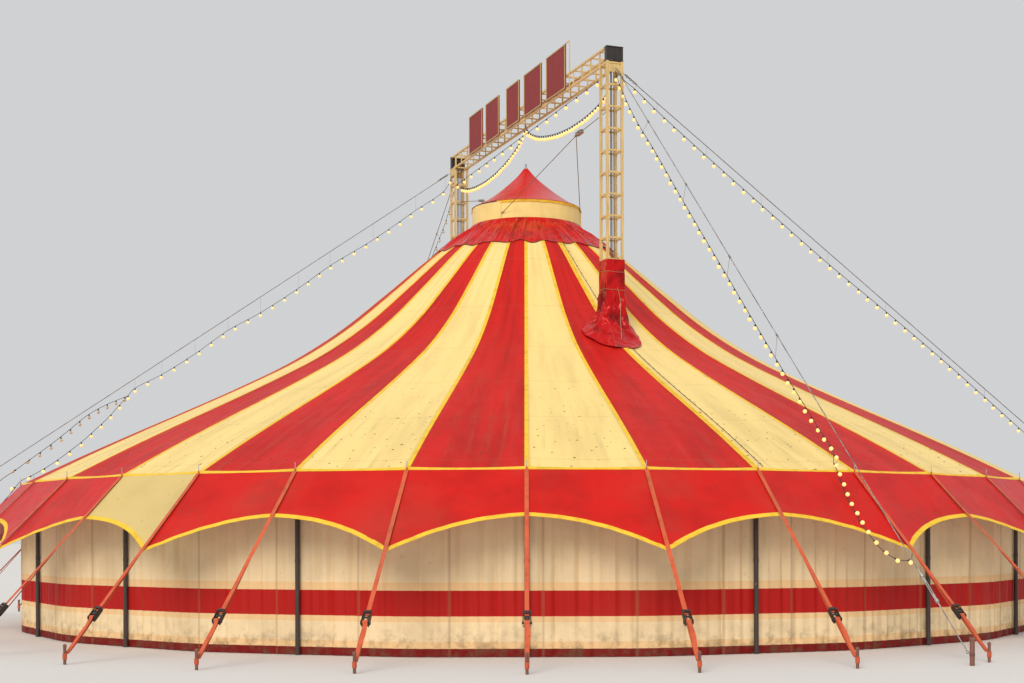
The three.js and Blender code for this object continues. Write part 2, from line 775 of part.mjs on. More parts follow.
// Strings beside the guys, from the masts to the eave or the anchor
function strungLights() {
  const flip = ([x, y, z]) => new THREE.Vector3(-x, -y, z);
  const straight = (p) => new THREE.Vector3(...p);
  return [
    cord('right_light_string', underGuy(0, RIGHT_DROPS), STRING_STEPS),
    cord('front_light_string', [...FRONT_STRING.map(straight), ...stringEnd(30)], STRING_STEPS),
    cord('back_light_string', [...FRONT_STRING.map(flip), ...stringEnd(210)], STRING_STEPS),
    cord(
      'left_light_string',
      [...underGuy(180, LEFT_DROPS), ...LEFT_STRING.map(straight), ...stringEnd(-70)],
      STRING_STEPS,
    ),
  ];
}

// Strings under the truss: a straight one between the masts' left legs and two hanging ones
function ridgeLights() {
  const inner = MAST_CIRCLE - MAST_HALF - GAP;
  const leg = -MAST.spacing / 2;
  const straight = bar(
    new THREE.Vector3(leg, -inner, RIDGE_STRING.front),
    new THREE.Vector3(leg, inner, RIDGE_STRING.back),
    CORD_RADIUS,
    CORD_SIDES,
  );
  const frontSwag = SWAG.map((p) => new THREE.Vector3(...p));
  const backSwag = SWAG.map(([x, y, z]) => new THREE.Vector3(x, -y, z));
  const meshes = [
    meshOf('ridge_light_string', solid(straight), materials.cord),
    cord('front_light_swag', frontSwag, SWAG_STEPS),
    cord('back_light_swag', backSwag, SWAG_STEPS),
  ];
  meshes.forEach((mesh) => {
    mesh.rotation.z = radians(MAST_AZIMUTH);
  });
  return meshes;
}

// Hoist ropes: from the mast's rung to a block, and from the block to the lantern band
function hoist(end, turn) {
  const { radius, sides, mastHeight } = HOIST;
  const hook = ([width, depth, height], azimuth, distance, z) => new THREE
    .BoxGeometry(width, depth, height)
    .translate(0, -distance, z)
    .rotateZ(radians(azimuth));
  const rungFace = MAST_CIRCLE - MAST.spacing / 2 - MAST.rung / 2 - GAP - EYE.depth / 2;
  const bandFace = (RING.radius + GAP + BAND.thickness) * Math.cos(radians(BAY / 2)) + GAP
    + EYE.depth / 2;
  const size = [EYE.width, EYE.depth, EYE.height];
  const block = new THREE.Vector3(...BLOCK.place);
  const parts = [
    hook(size, MAST_AZIMUTH, rungFace, mastHeight),
    bar(point(MAST_AZIMUTH, rungFace, mastHeight), block, radius, sides),
    new THREE.BoxGeometry(BLOCK.side, BLOCK.side, BLOCK.height).translate(...BLOCK.place),
  ];
  for (const { azimuth, height } of [FRONT_LEG, SIDE_LEG]) {
    parts.push(hook(size, azimuth, bandFace, height));
    parts.push(bar(block, point(azimuth, bandFace, height), radius, sides));
  }
  const made = parts.map((geometry) => solid(geometry.rotateZ(radians(turn))));
  return meshOf(`${end}_hoist_ropes`, join(made), materials.rope);
}

const root = new THREE.Group();
root.add(...canopyHalves());
root.add(...valances());
root.add(...sideWalls());
for (const quarter of QUARTERS) {
  root.add(sidePoles(quarter), straps(quarter));
}
for (const [end, turn] of [['front', 0], ['back', 180]]) {
  root.add(mast(end, turn), mastHead(end, turn), mastFoot(end, turn), mastBoot(end, turn));
  root.add(hoist(end, turn));
}
root.add(ridgeTruss(), ...signBoards());
root.add(lanternFrame(), lanternBand(), lanternRoof(), lanternSkirt());
for (const [name, turn, sideways] of [
  ['right', 0, true],
  ['front', 0, false],
  ['left', 180, true],
  ['back', 180, false],
]) {
  root.add(guy(`${name}_mast_guy`, turn, sideways), guyAnchor(`${name}_guy_anchor`, turn, sideways));
}
root.add(...strungLights(), ...ridgeLights());

export default root;
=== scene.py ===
import math

import bmesh
import bpy
import numpy as np
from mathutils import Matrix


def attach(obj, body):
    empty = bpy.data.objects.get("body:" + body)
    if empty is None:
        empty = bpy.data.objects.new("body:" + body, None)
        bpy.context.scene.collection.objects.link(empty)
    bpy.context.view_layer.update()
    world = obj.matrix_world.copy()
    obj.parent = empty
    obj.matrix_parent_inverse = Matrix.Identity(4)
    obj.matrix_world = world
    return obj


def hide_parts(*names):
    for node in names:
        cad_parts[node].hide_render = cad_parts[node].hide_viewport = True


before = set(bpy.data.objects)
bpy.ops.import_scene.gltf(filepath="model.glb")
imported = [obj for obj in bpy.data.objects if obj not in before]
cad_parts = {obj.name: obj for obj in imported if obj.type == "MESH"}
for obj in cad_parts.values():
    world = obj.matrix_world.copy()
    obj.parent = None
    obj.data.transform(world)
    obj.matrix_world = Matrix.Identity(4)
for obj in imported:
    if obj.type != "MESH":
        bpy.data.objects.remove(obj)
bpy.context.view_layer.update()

bl_info = {
    "name": "Striped Big Top",
    "version": (1, 0, 0),
    "blender": (4, 5, 0),
    "location": "View3D > Sidebar > Big Top",
    "description": "Cloth, rigging, lights and stage of a round striped circus tent",
    "category": "Add Mesh",
}

# Azimuths are counted in bays from the front, -Y, towards +X. Metres throughout.
BAYS = 36
BAY = 360 / BAYS
HALF_BAY = math.radians(BAY / 2)
EAVE_RADIUS = 11.0
EAVE_HEIGHT = 3.0
QUARTERS = {"right": 2, "back": 11, "left": 20, "front": 29}
QUARTER_BAYS = 9
SIDE_BAYS = 18
LACED_SEAMS = (2, 20)
# Share of a bay that a piece stays clear of its last seams, and the gap between seated pieces
SEAM_MARGIN = 0.001
GAP = 0.0004
CANOPY_LINE = [
    (1.2154, 8.905), (2.2, 8.2), (3.3, 7.27), (4.4, 6.375), (5.5, 5.66),
    (6.6, 5.095), (7.7, 4.575), (8.8, 4.07), (9.9, 3.55), (11.0, 3.0),
]
VALANCE_TOP = 2.9856
TAN_BAY = 32.5
CORNER = (12.32, 1.70)
ARCH_HEIGHT = 2.24
ARCH_ROUNDNESS = 2.2
POLE_CIRCLE = 10.94
POLE_RADIUS = 0.045
WALL_TOP = 2.86
WALL_ROPE_HEIGHT = 2.925
STRAP_TOP = (11.012, 3.0)
STRAP_FOOT = (14.0, 0.12)
RATCHET_SHARE = 0.8
RATCHET_SIZE = np.diag([1.5, 1.5, 1.5, 1.0])
MAST_NAMES = ("front", "back")
MAST_AZIMUTH = math.radians(21)
MAST_CIRCLE = 4.78
MAST_SPACING = 0.32
MAST_TOP = 11.3804
MAST_HALF = 0.185
MAST_OPENING = 0.39
HEAD_HEIGHT = 0.30
HEAD_DEPTH = 0.12
BOOT_TOP = 7.43
BOOT_HALF = 0.1925
BOOT_SQUARENESS = 60
BOOT_TIES = (7.20, 6.84)
# Reach of the boot's rim from the mast, at angles in degrees round it
BOOT_RIM = [
    (0, 0.34), (45, 0.36), (90, 0.38), (135, 0.40), (160, 0.44), (178, 0.56), (190, 0.73),
    (205, 0.78), (230, 0.87), (250, 0.91), (270, 0.89), (292, 0.79), (315, 0.57), (340, 0.38),
]
TRUSS_LOW = 11.345
TRUSS_HIGH = 11.655
TRUSS_CELLS = 10
BOARDS = [(0.2, 0.312), (0.345, 0.454), (0.488, 0.574), (0.629, 0.724), (0.751, 0.852)]
BOARD_BOTTOM = 11.37
BOARD_TOP = 12.31
BOARD_FACE = -0.2004
BARE_POST = 0.178
BAND_RADIUS = 1.2254
BAND_BOTTOM = 8.93
BAND_TOP = 9.365
ROOF_LINE = [(0.0215, 10.335), (0.18, 10.15), (0.5, 9.87), (0.77, 9.665), (1.09, 9.45), (1.245, 9.3642)]
SKIRT_EDGE = 2.18
GUY_TOP = 11.24
SIDE_ANCHOR = (16.83, 1.23)
END_ANCHOR = (6.578, -12.705)
ANCHOR_GRIP = 0.16
ANCHOR_RADIUS = 0.0416
# Middles of the shackles, from the faces that they sit on
MAST_SHACKLE = 0.03
ANCHOR_SHACKLE = 0.017
BAND_SHACKLE = 0.0174
TENSIONER_LENGTH = 1.6
HOIST_TOP = (4.5856, 10.48)
HOIST_BLOCK = (1.115, -3.30, 10.29)
CORD_DIAMETER = 0.012
CORD_STEP = 0.06
STRING_TOP = 11.1745
STRING_BEND = 11.1295
RIGHT_DROPS = [
    (0.02, 0.11), (0.05, 0.16), (0.12, 0.205), (0.2, 0.225), (0.3, 0.24), (0.39, 0.19),
    (0.48, 0.165), (0.55, 0.18), (0.62, 0.205), (0.7, 0.19), (0.79, 0.11), (0.88, 0.019),
]
LEFT_DROPS = [
    (0.01, 0.33), (0.06, 0.365), (0.13, 0.405), (0.2, 0.35), (0.25, 0.395), (0.31, 0.385),
    (0.36, 0.3), (0.41, 0.345), (0.46, 0.32), (0.5, 0.23),
]
LEFT_STRING = [
    (-9.446, 1.25, 5.24), (-9.541, 0.7, 4.93), (-9.632, 0.15, 4.63), (-9.742, -0.4, 4.353),
    (-9.844, -0.95, 4.088), (-9.961, -1.5, 3.841), (-10.079, -2.0, 3.62), (-10.204, -2.5, 3.414),
    (-10.34, -3.0, 3.229),
]
UNLIT_STRING = [
    (-9.446, 1.25, 5.253), (-9.645, 0.083, 4.945), (-9.813, -0.907, 4.615), (-9.951, -1.719, 4.255),
    (-10.094, -2.557, 3.895), (-10.232, -3.369, 3.57), (-10.299, -3.762, 3.415),
    (-10.46, -3.862, 3.265), (-10.64, -3.919, 3.14), (-11.008, -3.963, 2.8),
    (-11.385, -4.099, 2.24), (-11.678, -4.204, 1.654),
]
FRONT_STRING = [
    (1.79, -4.664, STRING_TOP), (1.79, -4.664, STRING_BEND), (2.082, -5.165, 10.203),
    (2.474, -5.666, 9.342), (2.841, -6.168, 8.498), (3.206, -6.669, 7.669), (3.57, -7.17, 6.857),
    (3.922, -7.671, 6.061), (4.268, -8.172, 5.28), (4.614, -8.674, 4.516), (4.964, -9.175, 3.767),
    (5.159, -9.476, 3.326),
]
STRING_END = [
    (-2.1, 10.96, 3.115), (-2.2, 11.04, 3.055), (-2.3, 11.108, 2.962), (-2.4, 11.2, 2.84),
    (-2.7, 11.425, 2.572), (-2.9, 11.675, 2.332), (-3.05, 11.895, 2.115), (-2.95, 12.075, 1.935),
    (-2.6, 12.165, 1.777), (-2.0, 12.24, 1.64), (-1.3, 12.315, 1.545), (-0.65, 12.37, 1.52),
    (-0.25, 12.405, 1.56), (-0.2, 12.412, 1.64),
]
SWAG = [
    (0, -4.616, 10.8966), (0, -4.61, 10.866), (0, -4.4, 10.79), (0, -4.0, 10.7),
    (0, -3.5, 10.645), (0, -3.0, 10.625), (0, -2.5, 10.63), (0, -2.0, 10.665),
    (0, -1.5, 10.73), (0, -1.0, 10.825), (0, -0.6, 10.935), (0, -0.25, 11.08),
    (0, -0.06, 11.215), (0, -0.01, 11.29), (0, -0.008, 11.3295),
]
CAMERA_LENS = 55.29
CAMERA_SHIFT = (-0.0144, 0.1895)
CAMERA_ROLL = 0.0023
# Matrix of two quarter turns that bring X to Y, Y to Z and Z to X
ON_SIDE = np.array([[0, 0, 1, 0], [1, 0, 0, 0], [0, 1, 0, 0], [0, 0, 0, 1.0]])


# Surfaces as whole arrays

class Shape:
    """Points with four- and three-sided faces and, where a pattern needs it, a place on the cloth."""

    def __init__(self, points, quads=None, tris=None, uv=None):
        self.points = np.asarray(points, float).reshape(-1, 3)
        self.quads = np.zeros((0, 4), int) if quads is None else np.asarray(quads, int)
        self.tris = np.zeros((0, 3), int) if tris is None else np.asarray(tris, int)
        self.uv = np.zeros((len(self.points), 2)) if uv is None else np.asarray(uv).reshape(-1, 2)

    def moved(self, matrix):
        """Each point times the 4 by 4 matrix."""
        matrix = np.asarray(matrix, float)
        return Shape(self.points @ matrix[:3, :3].T + matrix[:3, 3], self.quads, self.tris, self.uv)

    def repeated(self, matrices):
        """One copy of the shape for each 4 by 4 matrix, in one array."""
        m = np.asarray(matrices, float)
        points = np.einsum("mij,nj->mni", m[:, :3, :3], self.points) + m[:, None, :3, 3]
        shift = (np.arange(len(m)) * len(self.points))[:, None, None]
        return Shape(
            points,
            (self.quads[None] + shift).reshape(-1, 4),
            (self.tris[None] + shift).reshape(-1, 3),
            np.tile(self.uv, (len(m), 1)),
        )


def joined(*shapes):
    """All the shapes in one, with each one's faces counted on from the points before it."""
    starts = np.cumsum([0] + [len(s.points) for s in shapes])
    return Shape(
        np.concatenate([s.points for s in shapes]),
        np.concatenate([s.quads + n for s, n in zip(shapes, starts)]),
        np.concatenate([s.tris + n for s, n in zip(shapes, starts)]),
        np.concatenate([s.uv for s in shapes]),
    )


def unit(vectors):
    """Vectors divided by their lengths."""
    vectors = np.asarray(vectors, float)
    return vectors / np.linalg.norm(vectors, axis=-1, keepdims=True)


def grid(rows, columns):
    """Quads between neighbours of a grid whose points are numbered row by row."""
    i, j = np.meshgrid(np.arange(rows - 1), np.arange(columns - 1), indexing="ij")
    a = (i * columns + j).ravel()
    return np.stack([a, a + 1, a + columns + 1, a + columns], axis=1)


def polar(azimuth, radius, height):
    """Points at an azimuth in radians from the front, a radius and a height."""
    azimuth, radius, height = np.broadcast_arrays(azimuth, radius, height)
    return np.stack([radius * np.sin(azimuth), -radius * np.cos(azimuth), height], axis=-1)


def smooth(line):
    """Height as a function of radius through a line's points: cubic pieces, each point's slope the
    harmonic mean of the slopes on its two sides."""
    x, y = np.array(sorted(line)).T
    step = np.diff(x)
    rise = np.diff(y) / step
    both = rise[:-1] * rise[1:]
    mean = np.where(both > 0, 2 * both / np.where(both > 0, rise[:-1] + rise[1:], 1), 0)
    slope = np.concatenate([rise[:1], mean, rise[-1:]])

    def value(at):
        i = np.clip(np.searchsorted(x, at) - 1, 0, len(step) - 1)
        t = (at - x[i]) / step[i]
        return (
            (1 + 2 * t) * (1 - t) ** 2 * y[i]
            + t * (1 - t) ** 2 * step[i] * slope[i]
            + t * t * (3 - 2 * t) * y[i + 1]
            + t * t * (t - 1) * step[i] * slope[i + 1]
        )

    return value


def distances(path):
    """Distance along a path to each of its points."""
    return np.concatenate([[0], np.cumsum(np.linalg.norm(np.diff(path, axis=0), axis=1))])


def cloth_sheet(top, thickness, across, along):
    """Closed sheet: a grid of points, the same grid set back along its normals, and the strip of
    quads that joins their four edges. Across and along are its places on the cloth."""
    rows, columns, _ = top.shape
    normal = unit(np.cross(np.gradient(top, axis=1), np.gradient(top, axis=0)))
    under = top - normal * thickness
    count = rows * columns
    faces = grid(rows, columns)
    index = np.arange(count).reshape(rows, columns)
    edge = np.concatenate([index[0], index[1:, -1], index[-1, -2::-1], index[-2:0:-1, 0]])
    after = np.roll(edge, -1)
    rim = np.stack([edge, after, after + count, edge + count], axis=1)
    uv = np.tile(np.stack(np.broadcast_arrays(across, along), axis=-1).reshape(-1, 2), (2, 1))
    points = np.concatenate([top.reshape(-1, 3), under.reshape(-1, 3)])
    return Shape(points, np.concatenate([faces, faces[:, ::-1] + count, rim]), uv=uv)


def sheet_area(top):
    """Area of one side: half the cross product of each quad's diagonals, summed."""
    first = top[1:, 1:] - top[:-1, :-1]
    second = top[1:, :-1] - top[:-1, 1:]
    return float(np.linalg.norm(np.cross(first, second), axis=-1).sum() / 2)


def carried(path, section, lift, closed=False):
    """Section carried along a path: its first coordinate goes square to the path and the lift
    direction, its second one square to the path and the first. Ends are closed with a fan."""
    path = np.asarray(path, float)
    section = np.asarray(section, float)
    section = np.vstack([section, section[:1]])
    if closed:
        tangent = np.roll(path, -1, axis=0) - np.roll(path, 1, axis=0)
        path = np.vstack([path, path[:1]])
        tangent = np.vstack([tangent, tangent[:1]])
    else:
        tangent = np.gradient(path, axis=0)
    lift = np.broadcast_to(np.asarray(lift, float), tangent.shape)
    side = unit(np.cross(tangent, lift))
    up = unit(np.cross(side, tangent))
    points = (
        path[:, None]
        + side[:, None] * section[None, :, :1]
        + up[:, None] * section[None, :, 1:]
    )
    rows, columns = points.shape[:2]
    along = distances(path)
    across = np.linspace(0, 1, columns)
    uv = np.stack(np.meshgrid(across, along), axis=-1)
    shape = Shape(points, grid(rows, columns), uv=uv)
    if closed:
        return shape
    start = rows * columns
    ring = np.arange(columns - 1)
    fans = np.concatenate([
        np.stack([np.full(columns - 1, start), ring + 1, ring], axis=1),
        np.stack([np.full(columns - 1, start + 1), ring, ring + 1], axis=1)
        + [0, (rows - 1) * columns, (rows - 1) * columns],
    ])
    centres = points[[0, -1], :-1].mean(axis=1)
    middles = np.array([[0.5, along[0]], [0.5, along[-1]]])
    return Shape(
        np.concatenate([shape.points, centres]), shape.quads, fans,
        np.concatenate([shape.uv, middles]),
    )


def circle(radius, sides):
    """Points at equal angles round a circle."""
    a = np.arange(sides) * 2 * np.pi / sides
    return radius * np.stack([np.cos(a), np.sin(a)], axis=1)


def flat_section(width, thickness):
    """Section of webbing: a flat strip whose long edges are chamfered by a third of its thickness."""
    w, t = width / 2, thickness / 2
    c = thickness / 3
    return np.array([
        (-w, -t + c), (-w + c, -t), (w - c, -t), (w, -t + c),
        (w, t - c), (w - c, t), (-w + c, t), (-w, t - c),
    ])


def turned(outline, sides):
    """Outline of radii and heights turned once about Z."""
    radius, height = np.array(outline, float).T
    a = np.linspace(0, 2 * np.pi, sides + 1)
    points = polar(a[None], radius[:, None], height[:, None])
    uv = np.stack(np.meshgrid(a / (2 * np.pi), np.arange(len(radius))), axis=-1)
    return Shape(points, grid(len(radius), sides + 1), uv=uv)


def stood(outline, sides, radius, height=0.0):
    """Outline turned about an upright axis that stands at the front, at a radius."""
    return turned(outline, sides).moved(turn_z(0, (0, -radius, height)))


def closed_rings(sides, rings):
    """Quads between rings of points that lie one after the other, and the fans that close both ends
    from the two points after them."""
    j = np.arange(sides)
    k = (j + 1) % sides
    last = sides * (rings - 1)
    quads = [np.stack([j, k, k + sides, j + sides], axis=1) + sides * i for i in range(rings - 1)]
    tris = [
        np.stack([np.full(sides, sides * rings), k, j], axis=1),
        np.stack([np.full(sides, sides * rings + 1), j + last, k + last], axis=1),
    ]
    return np.concatenate(quads), np.concatenate(tris)


def rods(starts, ends, radius, sides=8):
    """Round bars: a circle square to each line from start to end, at both ends, with the ends closed."""
    starts, ends = np.atleast_2d(starts).astype(float), np.atleast_2d(ends).astype(float)
    line = unit(ends - starts)
    helper = np.where(np.abs(line[:, 2:]) > 0.9, [[1.0, 0, 0]], [[0, 0, 1.0]])
    side = unit(np.cross(line, helper))
    up = np.cross(side, line)
    ring = circle(radius, sides)
    rim = side[:, None] * ring[None, :, :1] + up[:, None] * ring[None, :, 1:]
    points = np.concatenate(
        [starts[:, None] + rim, ends[:, None] + rim, starts[:, None], ends[:, None]], axis=1
    )
    quads, tris = closed_rings(sides, 2)
    shift = (np.arange(len(starts)) * (2 * sides + 2))[:, None, None]
    return Shape(points, (quads + shift).reshape(-1, 4), (tris + shift).reshape(-1, 3))


def plate(outline, low, high):
    """Flat plate: an outline in X and Y between two heights, closed by fans from its middle."""
    outline = np.asarray(outline, float)
    n = len(outline)
    flat = np.column_stack([outline, np.full(n, low)])
    top = np.column_stack([outline, np.full(n, high)])
    middle = outline.mean(axis=0)
    return Shape(np.vstack([flat, top, [*middle, low], [*middle, high]]), *closed_rings(n, 2))


def rounded_box(size, place, chamfer):
    """Block with chamfered edges: an eight-sided outline at full height and a smaller one at its ends."""
    x, y, z = np.array(size) / 2
    c = chamfer

    def ring(inset, height):
        a, b = x - inset, y - inset
        return [
            (-a, -b + c, height), (-a + c, -b, height), (a - c, -b, height), (a, -b + c, height),
            (a, b - c, height), (a - c, b, height), (-a + c, b, height), (-a, b - c, height),
        ]

    points = np.array([*ring(c, -z), *ring(0, -z + c), *ring(0, z - c), *ring(c, z), (0, 0, -z), (0, 0, z)])
    return Shape(points + place, *closed_rings(8, 4))


def turn_z(angle, place=(0, 0, 0)):
    """Matrix of a turn about Z by an angle in radians, followed by a move."""
    c, s = math.cos(angle), math.sin(angle)
    x, y, z = place
    return np.array([[c, -s, 0, x], [s, c, 0, y], [0, 0, 1, z], [0, 0, 0, 1.0]])


def frame_at(place, forward, up):
    """Matrix that sets X sideways, Y forward and Z up at a place."""
    y = unit(forward)
    x = unit(np.cross(y, up))
    matrix = np.eye(4)
    matrix[:3] = np.column_stack([x, y, np.cross(x, y), place])
    return matrix


def around(shape, seams):
    """Copies of a shape made at the front, turned to each seam."""
    return shape.repeated([turn_z(math.radians(k * BAY)) for k in seams])


def bays_from(first, count, steps):
    """Places across several bays in equal steps, just clear of the seams at both ends."""
    return np.linspace(first + SEAM_MARGIN, first + count - SEAM_MARGIN, count * steps + 1)


def chord(bays):
    """Share of the seams' radius at which the straight line between two seams passes."""
    return math.cos(HALF_BAY) / np.cos((np.mod(bays, 1) - 0.5) * 2 * HALF_BAY)


def frames_at(places, x, y, z):
    """One matrix for each place, with its X, Y and Z along these directions."""
    frames = np.tile(np.eye(4), (len(places), 1, 1))
    for column, values in enumerate((x, y, z, places)):
        frames[:, :3, column] = values
    return frames


def at_mast(shape, end):
    """Shape of the front mast's own frame, set at the front mast (0) or the back one (1)."""
    angle = MAST_AZIMUTH + end * math.pi
    return shape.moved(turn_z(angle, polar(angle, MAST_CIRCLE, 0.0)))


def curve_through(points, spacing):
    """Centripetal spline through the points: each stretch blends the straight lines through four
    neighbouring points, weighted by the square roots of their distances. It is then read off at
    equal distances along itself."""
    p = np.array(points, float)
    p = np.vstack([2 * p[0] - p[1], p, 2 * p[-1] - p[-2]])
    knots = np.concatenate([[0], np.cumsum(np.linalg.norm(np.diff(p, axis=0), axis=1) ** 0.5)])
    i = np.arange(1, len(p) - 2)
    share = np.linspace(0, 1, 17)[:-1]
    t = (knots[i][:, None] + (knots[i + 1] - knots[i])[:, None] * share)[..., None]
    k0, k1, k2, k3 = (knots[i + d][:, None, None] for d in (-1, 0, 1, 2))
    p0, p1, p2, p3 = (p[i + d][:, None] for d in (-1, 0, 1, 2))
    a1 = (k1 - t) / (k1 - k0) * p0 + (t - k0) / (k1 - k0) * p1
    a2 = (k2 - t) / (k2 - k1) * p1 + (t - k1) / (k2 - k1) * p2
    a3 = (k3 - t) / (k3 - k2) * p2 + (t - k2) / (k3 - k2) * p3
    b1 = (k2 - t) / (k2 - k0) * a1 + (t - k0) / (k2 - k0) * a2
    b2 = (k3 - t) / (k3 - k1) * a2 + (t - k1) / (k3 - k1) * a3
    line = ((k2 - t) / (k2 - k1) * b1 + (t - k1) / (k2 - k1) * b2).reshape(-1, 3)
    line = np.vstack([line, p[-2]])
    far = distances(line)
    even = np.linspace(0, far[-1], max(2, round(far[-1] / spacing) + 1))
    return np.stack([np.interp(even, far, line[:, d]) for d in range(3)], axis=1)


# Pieces

def piece(name, shape, material, replaces=(), crease=40):
    """Object of a shape: doubles merged, faces turned outwards, creased where faces meet sharply."""
    mesh = bpy.data.meshes.new(name)
    mesh.from_pydata(shape.points.tolist(), [], shape.quads.tolist() + shape.tris.tolist())
    layer = mesh.uv_layers.new(name="cloth")
    corners = np.zeros(len(mesh.loops), np.int32)
    mesh.loops.foreach_get("vertex_index", corners)
    layer.data.foreach_set("uv", shape.uv[corners].astype(np.float32).ravel())
    work = bmesh.new()
    work.from_mesh(mesh)
    bmesh.ops.remove_doubles(work, verts=work.verts, dist=2e-5)
    bmesh.ops.recalc_face_normals(work, faces=work.faces)
    work.to_mesh(mesh)
    work.free()
    mesh.shade_smooth()
    mesh.set_sharp_from_angle(angle=math.radians(crease))
    mesh.materials.append(material)
    thing = bpy.data.objects.new(name, mesh)
    bpy.context.scene.collection.objects.link(thing)
    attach(thing, "root")
    if replaces:
        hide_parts(*replaces)
    return thing


def paint(node, material):
    """Material of a CAD node that is shown as it is."""
    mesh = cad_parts[node].data
    mesh.materials.clear()
    mesh.materials.append(material)


# Materials

class Value:
    """A socket in a material that takes part in sums as a number does."""

    def __init__(self, finish, socket):
        self.finish = finish
        self.socket = socket

    def math(self, operation, *terms):
        return self.finish.node("ShaderNodeMath", {"operation": operation}, dict(enumerate(terms)))

    def __add__(self, other):
        return self.math("ADD", self, other)

    def __radd__(self, other):
        return self.math("ADD", other, self)

    def __sub__(self, other):
        return self.math("SUBTRACT", self, other)

    def __rsub__(self, other):
        return self.math("SUBTRACT", other, self)

    def __mul__(self, other):
        return self.math("MULTIPLY", self, other)

    def __gt__(self, other):
        return self.math("GREATER_THAN", self, other)

    def __lt__(self, other):
        return self.math("LESS_THAN", self, other)

    def __mod__(self, other):
        return self.math("FLOORED_MODULO", self, other)

    def sine(self):
        return self.math("SINE", self)

    def size(self):
        return self.math("ABSOLUTE", self)

    def kept(self, low, high):
        """The value, kept between two numbers."""
        return self.math("MINIMUM", self.math("MAXIMUM", self, low), high)

    def ramp(self, low, high):
        """0 below low and 1 above high, and smooth between them."""
        return self.finish.node(
            "ShaderNodeMapRange",
            {"interpolation_type": "SMOOTHSTEP"},
            {"Value": self, "From Min": low, "From Max": high},
        )


class Finish:
    """A material and the few ways of adding nodes to it."""

    def __init__(self, name, roughness=0.5, metallic=0.0, **constants):
        self.material = bpy.data.materials.new(name)
        self.material.use_nodes = True
        self.nodes = self.material.node_tree.nodes
        self.links = self.material.node_tree.links
        self.shader = self.nodes["Principled BSDF"]
        self.shader.inputs["Roughness"].default_value = roughness
        self.shader.inputs["Metallic"].default_value = metallic
        for label, value in constants.items():
            self.shader.inputs[label.replace("_", " ").title()].default_value = value

    def node(self, kind, settings=None, sockets=None, output=0):
        """New node of a type, with its settings made first and then its sockets set or linked."""
        made = self.nodes.new(kind)
        for name, value in (settings or {}).items():
            setattr(made, name, value)
        for name, value in (sockets or {}).items():
            if isinstance(value, Value):
                self.links.new(value.socket, made.inputs[name])
            else:
                made.inputs[name].default_value = value
        return Value(self, made.outputs[output])

    def place(self):
        """Object coordinates."""
        return self.node("ShaderNodeTexCoord", output="Object")

    def parts(self, vector):
        """The three numbers of a vector."""
        made = self.node("ShaderNodeSeparateXYZ", None, {0: vector})
        return tuple(Value(self, s) for s in made.socket.node.outputs)

    def cloth(self):
        """The two numbers of the piece's own map: across the bays, and along the cloth."""
        return self.parts(self.node("ShaderNodeUVMap", {"uv_map": "cloth"}))[:2]

    def vector(self, x, y, z=0.0):
        return self.node("ShaderNodeCombineXYZ", None, {0: x, 1: y, 2: z})

    def noise(self, vector, scale, detail=3.0, roughness=0.5):
        return self.node(
            "ShaderNodeTexNoise", None,
            {"Vector": vector, "Scale": scale, "Detail": detail, "Roughness": roughness},
        )

    def mix(self, first, second, factor):
        """First colour where the factor is 0, and the second one where it is 1."""
        return self.node(
            "ShaderNodeMix", {"data_type": "RGBA"}, {0: factor, 6: opaque(first), 7: opaque(second)}, 2,
        )

    def colour(self, value):
        self.set("Base Color", value)

    def set(self, label, value):
        self.links.new(value.socket, self.shader.inputs[label])

    def dull(self, level):
        """How much the surface mirrors when seen straight on."""
        self.shader.inputs["Specular IOR Level"].default_value = level

    def bump(self, height, distance, strength=1.0):
        self.set("Normal", self.node(
            "ShaderNodeBump", None, {"Strength": strength, "Distance": distance, "Height": height},
        ))


def opaque(colour):
    """A colour with an alpha of 1; a socket's value is left as it is."""
    return colour if isinstance(colour, Value) else (*tuple(colour)[:3], 1.0)


def shade(colour, factor):
    """A colour made darker or lighter by a factor."""
    return tuple(min(1.0, c * factor) for c in tuple(colour)[:3])


def weave(finish, vector, threads):
    """Height of a plain weave: the product of two sine waves across each other."""
    u, v, _ = finish.parts(vector)
    return (u * threads).sine() * (v * threads).sine()


def soiled(finish, colour, place, amount):
    """A colour with broad clouds of dust and small dark specks, by an amount from 0 to 1."""
    clouds = finish.noise(place, 0.7, 4.0, 0.6).ramp(0.45, 0.75)
    specks = finish.noise(place, 9.0, 2.0, 0.5).ramp(0.68, 0.74)
    dusty = finish.mix(colour, finish.mix(colour, (0.16, 0.11, 0.06), 0.55), clouds * amount)
    return finish.mix(dusty, (0.05, 0.03, 0.015), specks * (amount * 0.8))


